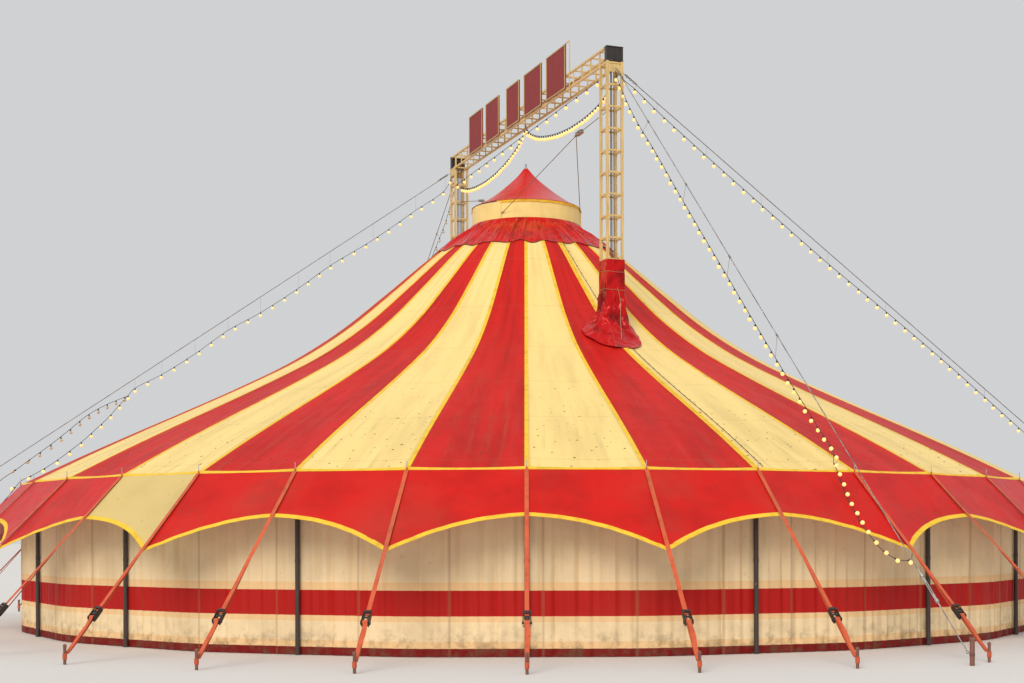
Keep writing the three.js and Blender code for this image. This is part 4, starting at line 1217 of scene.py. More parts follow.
class BIGTOP_OT_straps(bpy.types.Operator):
    """Straps with their loops, ratchets, eave pins and stakes"""

    bl_idname = "bigtop.straps"
    bl_label = "Straps and stakes"

    def execute(self, context):
        metal = context.scene.bigtop_metal
        band = webbing("strap_webbing", metal.strap, soil=0.45)
        black = painted("ratchet_paint", metal.black, (0.45, 0.43, 0.40), wear=0.8, gloss=0.35, scale=6.0)
        iron = painted("stake_iron", metal.stake, (0.30, 0.16, 0.10), wear=0.9, gloss=0.6, scale=2.0)
        zinc = steel("pin_steel", metal.zinc, rust=0.5)
        for name, first in QUARTERS.items():
            seams = np.arange(first, first + QUARTER_BAYS)
            piece("strap_webbing_" + name, around(self.strap(), seams), band,
                  replaces=["straps_" + name])
            piece("ratchets_" + name, around(self.ratchet(), seams), black, crease=30)
            piece("stakes_" + name, around(self.stake(), seams), iron, crease=35)
            piece("eave_pins_" + name, around(self.pin(), seams), zinc, crease=35)
        return {"FINISHED"}

    def strap(self):
        """Webbing from the pin to the ratchet with a narrower strand that parts from it below the
        valance's corner, doubled webbing from there to the stake, the turns on the spool, the loops
        round pin and stake, and a loose tail beside the strap."""
        up = strap_point(0.0, 1.0) - strap_point(0.0)
        wide = flat_section(0.068, 0.004)
        share = np.linspace(0.006, 0.775, 24)
        upper = carried(strap_point(share, 0.02 * share), wide, up)
        share = np.linspace(0.45, 0.79, 12)
        parting = -0.05 * (share - 0.45) / 0.34 - 0.004
        under = carried(strap_point(share, parting), flat_section(0.036, 0.004), up)
        s = np.linspace(0.815, 0.985, 12)
        ease = np.sin(np.pi * (s - 0.815) / 0.17)
        lower = [carried(strap_point(s, side * (0.006 + 0.008 * ease)), wide, up) for side in (-1, 1)]
        tail_share = np.linspace(0.80, 0.925, 14)
        drop = (tail_share - 0.80) / 0.125
        tail = strap_point(tail_share, 0.034 - 0.02 * drop)
        tail[:, 0] += 0.02 * np.sin(drop * 3.2)
        loose = carried(tail, flat_section(0.066, 0.003), up)
        spool = rods([[-0.026, 0.02, 0.008]], [[0.026, 0.02, 0.008]], 0.024, 16)
        spool = spool.moved(strap_frame(RATCHET_SHARE) @ RATCHET_SIZE)
        foot = [(0.0285, 0.075), (0.034, 0.078), (0.034, 0.165), (0.0285, 0.168)]
        collar = [(0.008, 2.985), (0.013, 2.99), (0.013, 3.03), (0.008, 3.035)]
        loops = [stood(foot, 18, STRAP_FOOT[0]), stood(collar, 12, STRAP_TOP[0])]
        patch = carried(strap_point(np.linspace(0.004, 0.075, 6), 0.0045), wide, up)
        return joined(upper, under, *lower, loose, spool, *loops, patch)

    def ratchet(self):
        """Frame of two cheeks round a spool, a handle with its grip, the pawls and the tail bar."""
        cheek = np.array([
            (-0.118, -0.012), (-0.105, -0.022), (0.02, -0.026), (0.055, -0.02), (0.062, 0.004),
            (0.045, 0.026), (0.0, 0.03), (-0.10, 0.016), (-0.118, 0.006),
        ])
        arm = np.array([
            (0.04, 0.012), (0.046, 0.03), (0.02, 0.034), (-0.06, 0.035), (-0.115, 0.034),
            (-0.12, 0.024), (-0.06, 0.018), (0.0, 0.004),
        ])
        parts = []
        for side in (-1, 1):
            for outline, near, far in ((cheek, 0.031, 0.036), (arm, 0.038, 0.042)):
                parts.append(plate(outline, *sorted((side * near, side * far))).moved(ON_SIDE))
            parts.append(rods([[side * 0.043, 0.02, 0.008]], [[side * 0.047, 0.02, 0.008]], 0.026, 14))
        ends = [
            ((0.02, 0.008), 0.009, 0.05), ((-0.11, 0.029), 0.006, 0.042), ((-0.098, -0.004), 0.007, 0.036),
            ((-0.055, 0.027), 0.004, 0.042), ((0.05, -0.006), 0.005, 0.036),
        ]
        for (y, z), radius, half in ends:
            parts.append(rods([[-half, y, z]], [[half, y, z]], radius, 10))
        parts.append(rounded_box((0.074, 0.03, 0.018), (0, -0.106, 0.0295), 0.004))
        parts.append(rounded_box((0.06, 0.028, 0.004), (0, -0.03, 0.026), 0.001))
        return joined(*parts).moved(strap_frame(RATCHET_SHARE) @ RATCHET_SIZE)

    def stake(self):
        """Steel stake with a rolled mushroom head and a collar, turned about its axis."""
        outline = [
            (0, 0.001), (0.024, 0.001), (0.024, 0.262), (0.0275, 0.268), (0.029, 0.278),
            (0.0285, 0.292), (0.022, 0.304), (0.010, 0.309), (0, 0.3095),
        ]
        return stood(outline, 18, STRAP_FOOT[0])

    def pin(self):
        """Spike that stands up through the eave: a rod with a washer, a nut and a blunt tip."""
        outline = [
            (0, 2.962), (0.0065, 2.962), (0.0065, 2.985), (0.018, 2.986), (0.018, 2.991),
            (0.011, 2.992), (0.011, 3.004), (0.0065, 3.005), (0.0065, 3.128), (0.004, 3.137), (0, 3.139),
        ]
        return stood(outline, 10, STRAP_TOP[0])


# Masts, heads, boots and truss

class BIGTOP_OT_masts(bpy.types.Operator):
    """Paint of the masts and their feet, their heads and the lines inside them"""

    bl_idname = "bigtop.masts"
    bl_label = "Masts"

    def execute(self, context):
        metal = context.scene.bigtop_metal
        cream = painted("mast_paint", metal.mast, (0.35, 0.30, 0.24), wear=0.55, gloss=0.38)
        black = painted("head_paint", metal.black, (0.30, 0.27, 0.24), wear=0.5, gloss=0.4)
        zinc = steel("foot_steel", metal.zinc, rust=0.5)
        lines = wire("mast_lines", (0.16, 0.14, 0.12))
        for end, name in enumerate(MAST_NAMES):
            paint(name + "_mast", cream)
            paint(name + "_mast_foot", zinc)
            piece(name + "_mast_head_box", at_mast(self.head(), end), black,
                  replaces=[name + "_mast_head"], crease=30)
            piece(name + "_mast_lines", at_mast(self.lines(), end), lines)
        return {"FINISHED"}

    def head(self):
        """Head: a housing along the outer side of the mast's top, with a lid, a foot plate, two cheeks
        and bolts in rows."""
        low = MAST_TOP + 0.001
        middle = low + HEAD_HEIGHT / 2 - 0.001
        y = HEAD_DEPTH / 2 - MAST_HALF
        parts = [
            rounded_box((0.368, 0.118, 0.024), (0, y, low + 0.012), 0.004),
            rounded_box((0.344, 0.100, HEAD_HEIGHT - 0.04), (0, y, middle), 0.010),
            rounded_box((0.368, 0.118, 0.024), (0, y, low + HEAD_HEIGHT - 0.014), 0.004),
        ]
        for x in (-1, 1):
            parts.append(rounded_box((0.030, 0.110, HEAD_HEIGHT - 0.03), (x * 0.166, y, middle), 0.006))
        bolts = np.array([(x, y - 0.056, low + z) for x in (-0.12, 0, 0.12) for z in (0.07, 0.23)])
        parts.append(rods(bolts, bolts + [0, 0.02, 0], 0.011, 6))
        return joined(*parts)

    def lines(self):
        """Straight hoist lines down the inside of the mast."""
        spots = ((-0.04, -0.05), (0.03, -0.05), (-0.04, 0.06), (0.035, 0.06))
        low = np.array([(x, y, 0.4) for x, y in spots])
        high = low.copy()
        high[:, 2] = MAST_TOP - 0.02
        return rods(low, high, 0.009, 6)


class BIGTOP_OT_boots(bpy.types.Operator):
    """Glossy sleeves round the masts where they pass the canopy, with their ties"""

    bl_idname = "bigtop.boots"
    bl_label = "Mast boots"

    def execute(self, context):
        cloth = context.scene.bigtop_cloth
        vinyl = plain_cloth("boot_cloth", cloth.dark_red, 0.1, 0.06, 0.62, size=1.15)
        tie = rope("boot_tie", (0.62, 0.45, 0.22))
        for end, name in enumerate(MAST_NAMES):
            top, rings = self.sleeve(end)
            rows, columns, _ = top.shape
            shape = cloth_sheet(top, cloth.thickness, np.linspace(0, 3, columns)[None],
                                np.linspace(0, 2, rows)[:, None])
            cords = piece(name + "_boot_ties", rings, tie)
            boot = piece(name + "_boot", shape, vinyl, replaces=[name + "_mast_boot"],
                         crease=70)
            sheet_area(top)
        return {"FINISHED"}

    def sleeve(self, end):
        """Sleeve round the mast: an upright rounded square that runs at each angle into a cubic curve
        out along the canopy, to a rim whose reach differs round the mast. The reach is a periodic
        interpolation; folds are slanting sines that only stand outwards."""
        columns, rows, upright_rows = 145, 56, 24
        angle = MAST_AZIMUTH + end * math.pi
        matrix = turn_z(angle, polar(angle, MAST_CIRCLE, 0.0))
        a = np.linspace(0, 2 * np.pi, columns)
        c, s = np.cos(a), np.sin(a)
        reach = (np.abs(c) ** BOOT_SQUARENESS + np.abs(s) ** BOOT_SQUARENESS) ** (-1 / BOOT_SQUARENESS)
        turns = np.radians([at for at, _ in BOOT_RIM])
        rim = np.interp(a, turns, [far for _, far in BOOT_RIM], period=2 * np.pi)
        rim = rim + 0.016 * np.sin(9 * a + 1) + 0.010 * np.sin(16 * a)

        def over_canopy(radius, above):
            flat = np.stack([radius * c, radius * s, 0 * radius * c], axis=-1)
            world = flat @ matrix[:3, :3].T + matrix[:3, 3]
            world[..., 2] = canopy_height(np.hypot(world[..., 0], world[..., 1])) + above
            return world

        base = BOOT_HALF * reach
        foot = over_canopy(base, 0.55)
        head = foot.copy()
        head[:, 2] = BOOT_TOP
        t = np.linspace(0, 1, upright_rows)[:-1, None]
        upright = head[None] * (1 - t[..., None]) + foot[None] * t[..., None]
        u = np.linspace(0, 1, rows - upright_rows + 1)[:, None]
        ways = ((1 - u) ** 3, 3 * u * (1 - u) ** 2, 3 * u * u * (1 - u), u ** 3)
        radius = ways[0] * base + ways[1] * base + ways[2] * (base * 0.7 + rim * 0.3) + ways[3] * rim
        above = ways[0] * 0.55 + ways[1] * 0.26 + ways[2] * 0.035 + ways[3] * 0.014
        top = np.concatenate([upright, over_canopy(radius, above)])

        far = np.concatenate([t * 0.5, 0.5 + u * 0.5])
        ties = sum(np.exp(-(((top[..., 2] - h) / 0.05) ** 2)) for h in BOOT_TIES)
        slant = top[..., 2] * 6.0
        fold = (
            np.sin(3 * a + slant + end) + 0.9 * np.sin(4 * a - slant * 1.2 + 1.3)
            + 0.45 * np.sin(9 * a + slant * 1.9 + 0.5) + 0.2 * np.sin(15 * a - slant * 2.3)
        ) / 2.0
        crease = np.clip(1 - np.abs(fold) * 1.4, 0, 1)
        depth = 0.008 + 0.12 * np.clip((far - 0.32) / 0.68, 0, 1) ** 0.8
        out = unit((top - matrix[:3, 3]) * [1, 1, 0])
        lean = 0.75 * far[..., None] ** 3
        out = out * (1 - lean) + np.array([0, 0, 1.0]) * lean
        push = crease * depth * (1 - 0.95 * np.clip(ties, 0, 1)) * (1 - 0.8 * far ** 8)
        top = top + out * push[..., None]
        top[:, -1] = top[:, 0]
        rings = []
        for h in BOOT_TIES:
            row = int(np.argmin(np.abs(top[:, 0, 2] - h)))
            ring = top[row, :-1] + out[row, :-1] * 0.007
            ring[:, 2] = h + 0.02 * np.sin(a[:-1] - angle)
            rings.append(carried(ring, circle(0.004, 6), (0, 0, 1), closed=True))
        return top, joined(*rings, self.tie_end(matrix))

    def tie_end(self, matrix):
        """Loose end of the lower tie: it passes an eye and hangs down the boot to the canopy."""
        hang = Shape([(0.03, -0.206, 6.87), (0.094, -0.212, 6.634), (0.02, -0.37, 6.24),
                      (-0.09, -0.66, 5.86), (-0.128, -0.74, 5.78)]).moved(matrix)
        x, z = circle(0.022, 10).T
        eye = Shape(np.stack([0.094 + x, np.full(10, -0.216), 6.634 + z], axis=1)).moved(matrix)
        section = circle(0.005, 6)
        ring = carried(eye.points, section, unit(matrix[:3, 1]), closed=True)
        return joined(ring, carried(curve_through(hang.points, 0.03), section, (0.3, 0.2, 1)))


class BIGTOP_OT_truss(bpy.types.Operator):
    """Paint of the truss between the mast heads, with the rungs between its stations and its cleats"""

    bl_idname = "bigtop.truss"
    bl_label = "Ridge truss"

    def execute(self, context):
        metal = context.scene.bigtop_metal
        cream = painted("truss_paint", metal.mast, (0.35, 0.30, 0.24), wear=0.5, gloss=0.38)
        paint("ridge_truss", cream)
        half = MAST_SPACING / 2
        length = 2 * (MAST_CIRCLE - MAST_HALF - GAP) - 0.04
        middle = (TRUSS_LOW + TRUSS_HIGH) / 2
        parts = []
        for y in ((np.arange(TRUSS_CELLS) + 0.5) / TRUSS_CELLS - 0.5) * length:
            parts += [rounded_box((MAST_SPACING - 0.03, 0.026, 0.026), (0, y, z), 0.003)
                      for z in (TRUSS_LOW, TRUSS_HIGH)]
            parts += [rounded_box((0.026, 0.026, TRUSS_HIGH - TRUSS_LOW - 0.03), (x, y, middle), 0.003)
                      for x in (-half, half)]
        for x in (-half, half):
            for y in (0.03 - length / 2, length / 2 - 0.03):
                parts.append(rounded_box((0.052, 0.09, 0.052), (x, y, TRUSS_LOW), 0.003))
        piece("truss_bracing", joined(*parts).moved(turn_z(MAST_AZIMUTH)), cream)
        return {"FINISHED"}


class BIGTOP_OT_boards(bpy.types.Operator):
    """Blank sign boards with raised edges, the posts that hold them and a bare post before the first"""

    bl_idname = "bigtop.boards"
    bl_label = "Sign boards"

    def execute(self, context):
        cloth, metal = context.scene.bigtop_cloth, context.scene.bigtop_metal
        red = painted("board_paint", shade(cloth.red, 0.45), (0.10, 0.03, 0.02), wear=0.5, gloss=0.5)
        cream = painted("board_rim_paint", shade(metal.mast, 0.7), (0.30, 0.20, 0.10), wear=0.5, gloss=0.45)
        post = painted("board_post_paint", metal.mast, (0.3, 0.25, 0.2), wear=0.5, gloss=0.4)
        rims, posts = [], []
        face = BOARD_FACE
        tall = BOARD_TOP - BOARD_BOTTOM
        centre = (BOARD_TOP + BOARD_BOTTOM) / 2
        turn = turn_z(MAST_AZIMUTH)
        for i, (start, end) in enumerate(BOARDS):
            low, high = MAST_CIRCLE * (2 * start - 1), MAST_CIRCLE * (2 * end - 1)
            middle, width = (low + high) / 2, high - low
            board = rounded_box((0.028, width - 0.004, tall - 0.004), (face + 0.004, middle, centre), 0.004)
            battens = [rounded_box((0.012, width - 0.12, 0.05), (face + 0.018, middle, centre + d), 0.003)
                       for d in (-0.28, 0.0, 0.28)]
            piece("sign_board_panel_%d" % (i + 1), joined(board, *battens).moved(turn), red,
                  replaces=["sign_board_%d" % (i + 1)], crease=30)
            for d in (-1, 1):
                upright = (face - 0.0135, middle + d * (width / 2 - 0.015), centre)
                level = (face - 0.0135, middle, centre + d * (tall / 2 - 0.015))
                rims.append(rounded_box((0.012, 0.03, tall), upright, 0.003))
                rims.append(rounded_box((0.012, width - 0.062, 0.03), level, 0.003))
                spot = middle + d * (width / 2 - 0.12)
                tall_post = (0.026, 0.026, BOARD_TOP - 0.06 - TRUSS_HIGH)
                foot = (-0.158, spot, (BOARD_TOP - 0.06 + TRUSS_HIGH) / 2 + 0.01)
                posts.append(rounded_box(tall_post, foot, 0.003))
        start = MAST_CIRCLE * (2 * BARE_POST - 1)
        tall = BOARD_TOP + 0.02 - TRUSS_LOW
        posts.append(rounded_box((0.022, 0.022, tall), (-0.195, start, TRUSS_LOW + tall / 2), 0.003))
        posts.append(rounded_box((0.022, 0.22, 0.022), (-0.195, start + 0.11, BOARD_TOP + 0.005), 0.003))
        piece("sign_board_rims", joined(*rims).moved(turn), cream, crease=30)
        piece("sign_board_posts", joined(*posts).moved(turn), post, crease=30)
        return {"FINISHED"}


# Lantern

class BIGTOP_OT_lantern(bpy.types.Operator):
    """Cupola: ridged roof, drum band with its trims, finial and the gathered skirt below"""

    bl_idname = "bigtop.lantern"
    bl_label = "Lantern"

    def execute(self, context):
        cloth, metal = context.scene.bigtop_cloth, context.scene.bigtop_metal
        paint("lantern_frame", steel("ring_steel", metal.zinc, rust=0.4))
        self.roof(cloth)
        self.band(cloth)
        self.skirt(cloth)
        finial = turned([
            (0, 10.30), (0.045, 10.30), (0.042, 10.330), (0.020, 10.345), (0.011, 10.36), (0.008, 10.42),
            (0.003, 10.434), (0, 10.435),
        ], 16)
        piece("lantern_finial", finial, steel("finial_steel", metal.zinc))
        return {"FINISHED"}

    def roof(self, cloth):
        """Roof: the turned line pressed in between four ridges by a squared sine, more in the middle
        of the slope, with small folds where it is gathered under the finial."""
        red = plain_cloth("lantern_roof_cloth", cloth.red, 0.22, 0.003, 0.12)
        height = smooth(ROOF_LINE)
        t = np.linspace(0, 1, 34)
        radius = 0.03 + (1.243 - 0.03) * t
        a = np.linspace(0, 2 * np.pi, 8 * 18 + 1)
        valley = np.sin(2 * a + 0.15) ** 2
        press = (0.07 * np.sin(np.pi * t ** 0.8))[:, None] * (valley ** 0.6)[None]
        gather = 0.004 * np.sin(48 * a)[None] * np.clip(1 - t * 4, 0, 1)[:, None]
        r = radius[:, None] * np.ones_like(a)[None] - 0.3 * press
        z = height(radius)[:, None] - 0.8 * press * (1 - t ** 6)[:, None] + gather
        top = polar(a[None], r, z)
        sheet = piece("lantern_roof_cloth", cloth_sheet(top, cloth.thickness, a[None], t[:, None]), red,
                      replaces=["lantern_roof"], crease=60)
        sheet_area(top)

    def band(self, cloth):
        """Drum: a cylinder with shallow vertical ripples that goes once round and a little past its
        start, where the end lies outside it; trims at both rims and a roll at the rope's eye."""
        cream = plain_cloth("lantern_band_cloth", cloth.cream, 0.42, 0.003, 0.08)
        gold = webbing("lantern_trim", cloth.gold)
        first = math.radians(-31)
        a = np.linspace(0, 2 * np.pi + 0.075, 241) + first
        z = np.linspace(BAND_TOP, BAND_BOTTOM, 9)
        share = (a - a[0]) / (a[-1] - a[0])
        ripple = 0.0025 * np.sin(31 * a) + 0.002 * np.sin(11 * a + 1)
        radius = BAND_RADIUS - 0.001 + ripple + 0.012 * share ** 12
        sag = 0.03 * np.clip(share - 0.86, 0, 1) / 0.14
        top = polar(a[None], radius[None] * np.ones_like(z)[:, None], z[:, None] - sag[None])
        sheet = piece("lantern_band_cloth", cloth_sheet(top, 0.003, a[None], z[:, None]), cream,
                      replaces=["lantern_band"])
        turn = np.linspace(first + 0.02, first + 2 * np.pi * 0.86, 120)
        rims = [carried(polar(turn, BAND_RADIUS + 0.007, z), flat_section(0.009, wide), (0, 0, 1))
                for z, wide in ((BAND_TOP - 0.026, 0.05), (BAND_BOTTOM + 0.014, 0.026))]
        edge = rods([polar(first, BAND_RADIUS + 0.012, BAND_TOP)],
                    [polar(first, BAND_RADIUS + 0.012, BAND_BOTTOM + 0.01)], 0.009, 8)
        roll = rods([polar(math.radians(85), BAND_RADIUS + 0.012, BAND_TOP + 0.01)],
                    [polar(math.radians(85), BAND_RADIUS + 0.016, BAND_BOTTOM)], 0.022, 12)
        piece("lantern_trims", joined(*rims), gold)
        piece("lantern_band_rolls", joined(edge, roll), cream)

    def skirt(self, cloth):
        """Skirt: from the drum down over the canopy to a wavy edge. It is gathered in creases that
        start under the drum and grow outwards: each is the fold of a sine turned over at zero."""
        red = plain_cloth("skirt_cloth", shade(cloth.red, 0.92), 0.17, 0.015, 0.35, 0.0, size=1.6)
        t = np.linspace(0, 1, 30)
        a = np.linspace(0, 2 * np.pi, 721)
        slant = a[None] + 0.05 * np.sin(7 * a + 2)[None] * t[:, None]
        wave = (
            (1 - np.abs(np.sin(14 * slant + 1.5 * np.sin(5 * a)))) ** 2
            + 0.7 * (1 - np.abs(np.sin(23 * slant + 0.7 + np.sin(3 * a)))) ** 2
            + 0.4 * (1 - np.abs(np.sin(41 * slant + 2.0 * np.sin(2 * a)))) ** 2
        )
        edge = SKIRT_EDGE - 0.06 + 0.04 * np.sin(18 * a + np.sin(4 * a)) + 0.02 * np.sin(31 * a)
        inner = BAND_RADIUS + 0.014
        radius = inner + (edge - inner)[None] * (t ** 1.05)[:, None]
        lift = 0.010 + (0.065 * np.sin(np.pi * np.clip(t * 0.92 + 0.06, 0, 1)) ** 0.7)[:, None] * wave
        inward = chord(np.degrees(a) / BAY)
        z = canopy_height(np.maximum(radius, CANOPY_LINE[0][0])) + lift
        neck = np.clip(1 - t * 9, 0, 1)[:, None]
        z = z * (1 - neck) + np.maximum(z, 8.965) * neck
        top = polar(a[None], radius * inward[None], z)
        sheet = piece("lantern_skirt_cloth", cloth_sheet(top, 0.003, a[None] * 4, t[:, None]), red,
                      replaces=["lantern_skirt"], crease=60)
        sheet_area(top)
        line = polar(a, (radius[-1] + 0.006) * inward, z[-1] - 0.002)
        tie = carried(line[:-1], circle(0.006, 6), (0, 0, 1), closed=True)
        piece("skirt_tie", tie, rope("skirt_rope", (0.10, 0.05, 0.03)))


# Ropes, guys and anchors

def shackle(place, towards):
    """Bow shackle: a bent bar through half a turn, closed by a straight pin with two nuts."""
    a = np.linspace(-0.15 * np.pi, 1.15 * np.pi, 16)
    bow = np.stack([0.024 * np.cos(a), 0.012 + 0.03 * np.sin(a), np.zeros_like(a)], axis=-1)
    parts = [
        carried(bow, circle(0.0065, 8), (0, 0, 1)),
        rods([[-0.036, -0.004, 0]], [[0.036, -0.004, 0]], 0.0075, 8),
        rods([[-0.034, -0.004, 0]], [[-0.026, -0.004, 0]], 0.012, 6),
        rods([[0.026, -0.004, 0]], [[0.034, -0.004, 0]], 0.012, 6),
    ]
    helper = [0, 0, 1] if abs(unit(towards)[2]) < 0.95 else [1, 0, 0]
    return joined(*parts).moved(frame_at(place, towards, helper))


def guy_ends(end, sideways):
    """Where a guy starts at its mast and ends at its anchor; those of the back mast are turned half
    a turn about the middle of the tent."""
    flip = -1.0 if end else 1.0
    angle = MAST_AZIMUTH
    out = MAST_HALF + GAP + MAST_SHACKLE
    local = np.array([out, 0, GUY_TOP]) if sideways else np.array([0, -out, GUY_TOP])
    start = (turn_z(angle, polar(angle, MAST_CIRCLE, 0.0)) @ [*local, 1.0])[:3]
    x, y = SIDE_ANCHOR if sideways else END_ANCHOR
    anchor = np.array([x, y, ANCHOR_GRIP])
    back = unit(np.array([start[0] - x, start[1] - y, 0]))
    stop = anchor + back * (ANCHOR_RADIUS + GAP + ANCHOR_SHACKLE)
    turn = np.array([flip, flip, 1.0])
    return start * turn, stop * turn, anchor * turn


GUYS = {"right": (0, True), "front": (0, False), "left": (1, True), "back": (1, False)}


class BIGTOP_OT_guys(bpy.types.Operator):
    """Mast guys with clips, tensioners and shackles, and their anchors"""

    bl_idname = "bigtop.guys"
    bl_label = "Mast guys"

    def execute(self, context):
        metal = context.scene.bigtop_metal
        strand = wire("guy_wire", metal.zinc)
        zinc = steel("guy_fittings", metal.zinc, rust=0.4)
        iron = painted("anchor_iron", metal.stake, (0.30, 0.16, 0.10), wear=0.9, gloss=0.6, scale=2.0)
        for name, (end, sideways) in GUYS.items():
            start, stop, anchor = guy_ends(end, sideways)
            line = unit(stop - start)
            length = np.linalg.norm(stop - start)
            body = length - TENSIONER_LENGTH
            up = np.cross(np.cross(line, [0, 0, 1]), line)
            rest = start + line * np.linspace(0.09, body + 0.12, 24)[:, None]
            low = start + line * np.linspace(body + 0.58, length - 0.08, 8)[:, None]
            tails = start + line * np.linspace(0.10, 0.42, 6)[:, None] + unit(up) * 0.016
            cable = joined(*(carried(p, circle(0.0085, 10), up) for p in (rest, low, tails)))
            piece(name + "_guy_wire", cable, strand, replaces=[name + "_mast_guy"])
            piece(name + "_guy_fittings", self.fittings(start, line, up, length, body), zinc,
                  crease=35)
            piece(name + "_anchor_stake", self.anchor(anchor), iron,
                  replaces=[name + "_guy_anchor"], crease=35)
        return {"FINISHED"}

    def fittings(self, start, line, up, length, body):
        """Shackles at both ends, clips on the doubled wire, and an open-bodied tensioner."""
        def along(distance):
            return start + line * distance

        parts = [shackle(along(0.03), line), shackle(along(length - 0.03), -line)]
        feet = np.array([[-0.014, 0, -0.014], [0.014, 0, -0.014]])
        tops = np.array([[-0.014, 0, 0.03], [0.014, 0, 0.03]])
        clip = joined(
            rounded_box((0.04, 0.026, 0.014), (0, 0, -0.010), 0.003),
            rods(feet, tops, 0.005, 8), rods(tops[:1], tops[1:], 0.005, 8),
        )
        parts += [clip.moved(frame_at(along(distance), line, up)) for distance in (0.16, 0.25, 0.34)]
        screws, collars, nuts = (0.011, 10), (0.03, 12), (0.019, 6)
        screw = joined(
            rods([[-0.02, 0.10, 0], [0.02, 0.10, 0]], [[-0.02, 0.60, 0], [0.02, 0.60, 0]], 0.0085, 8),
            *(rods([[0, low, 0]], [[0, high, 0]], *size) for low, high, size in (
                (-0.02, 0.24, screws), (0.46, 0.72, screws), (0.08, 0.13, collars), (0.57, 0.62, collars),
                (0.135, 0.155, nuts), (0.545, 0.565, nuts),
            )),
        )
        parts.append(screw.moved(frame_at(along(body), line, up)))
        return joined(*parts)

    def anchor(self, place):
        """Anchor: a thick stake with a rolled head, and three turns of wire round its grip."""
        outline = [
            (0, 0.001), (0.037, 0.001), (0.037, 0.36), (0.043, 0.368), (0.0448, 0.384),
            (0.043, 0.402), (0.030, 0.415), (0.014, 0.419), (0, 0.4195),
        ]
        stake = turned(outline, 20)
        a = np.arange(28) * 2 * np.pi / 28
        turns = [carried(polar(a, 0.041, z), circle(0.0038, 6), (0, 0, 1), closed=True)
                 for z in (0.145, 0.160, 0.175)]
        return joined(stake, *turns).moved(turn_z(0, (place[0], place[1], 0)))


class BIGTOP_OT_hoist(bpy.types.Operator):
    """Hoist ropes with their blocks, from each mast to the lantern ring"""

    bl_idname = "bigtop.hoist"
    bl_label = "Hoist ropes"

    def execute(self, context):
        metal = context.scene.bigtop_metal
        fibre = rope("hoist_rope", (0.30, 0.21, 0.12))
        iron = steel("block_steel", metal.zinc, rust=0.6)
        mast = polar(MAST_AZIMUTH, *HOIST_TOP)
        block = np.array(HOIST_BLOCK)
        face = BAND_RADIUS * math.cos(HALF_BAY) + BAND_SHACKLE
        legs = [polar(math.radians(-25), face, 9.085), polar(math.radians(85), face, 9.30)]
        up = unit(mast - block)
        t = np.linspace(0, 1, 20)[:, None]
        low_eye = block - up * 0.145
        routes = [mast + (block + up * 0.15 - mast) * t]
        routes += [low_eye + (leg - low_eye) * t for leg in legs]
        ropes = joined(*(carried(r, circle(0.0075, 8), (0, 0, 1)) for r in routes))
        wheel = turned([(0.012, -0.014), (0.052, -0.014), (0.042, -0.004), (0.042, 0.004),
                        (0.052, 0.014), (0.012, 0.014)], 20)
        cheek = np.array([(-0.03, -0.13), (0.03, -0.13), (0.054, -0.09), (0.054, 0.07), (0.03, 0.13),
                          (-0.03, 0.13), (-0.054, 0.07), (-0.054, -0.09)])
        parts = [wheel.moved(ON_SIDE).moved(turn_z(0, (0, 0, z))) for z in (-0.06, 0.05)]
        parts += [plate(cheek, x - 0.003, x + 0.003).moved(ON_SIDE) for x in (-0.024, 0.024)]
        pins = np.array([[0.034, 0, -0.06], [0.034, 0, 0.05], [0.034, 0, -0.115]])
        parts.append(rods(pins * [-1, 1, 1], pins, 0.010, 8))
        parts.append(rods([[0, 0, 0.10]], [[0, 0, 0.16]], 0.013, 8))
        tilt = frame_at(block, np.cross(up, [0, 0, 1.0]), up)
        fittings = [joined(*parts).moved(tilt)]
        fittings += [shackle(low_eye, leg - low_eye) for leg in legs]
        fittings += [shackle(leg, block - leg) for leg in legs]
        fittings.append(shackle(mast, block - mast))
        for end, name in enumerate(MAST_NAMES):
            turn = turn_z(end * math.pi)
            piece(name + "_hoist_lines", ropes.moved(turn), fibre,
                  replaces=[name + "_hoist_ropes"])
            piece(name + "_hoist_blocks", joined(*fittings).moved(turn), iron,
                  crease=35)
        return {"FINISHED"}


# Strings of lights

def under_guy(end, drops):
    """Points of a string that starts under a side guy's shackle: shares of the guy's length, each
    lowered by its drop."""
    start, stop, _ = guy_ends(end, True)
    share, drop = np.array(drops).T[..., None]
    hung = start + (stop - start) * share - [0, 0, 1] * drop
    top = [[start[0], start[1], z] for z in (STRING_TOP, STRING_BEND)]
    return np.vstack([top, hung])


def string_end(azimuth):
    """Last stretch of a hanging string, beside the seam at an azimuth in degrees."""
    beside, radius, height = np.array(STRING_END).T
    return polar(np.radians(azimuth + beside), radius, height)


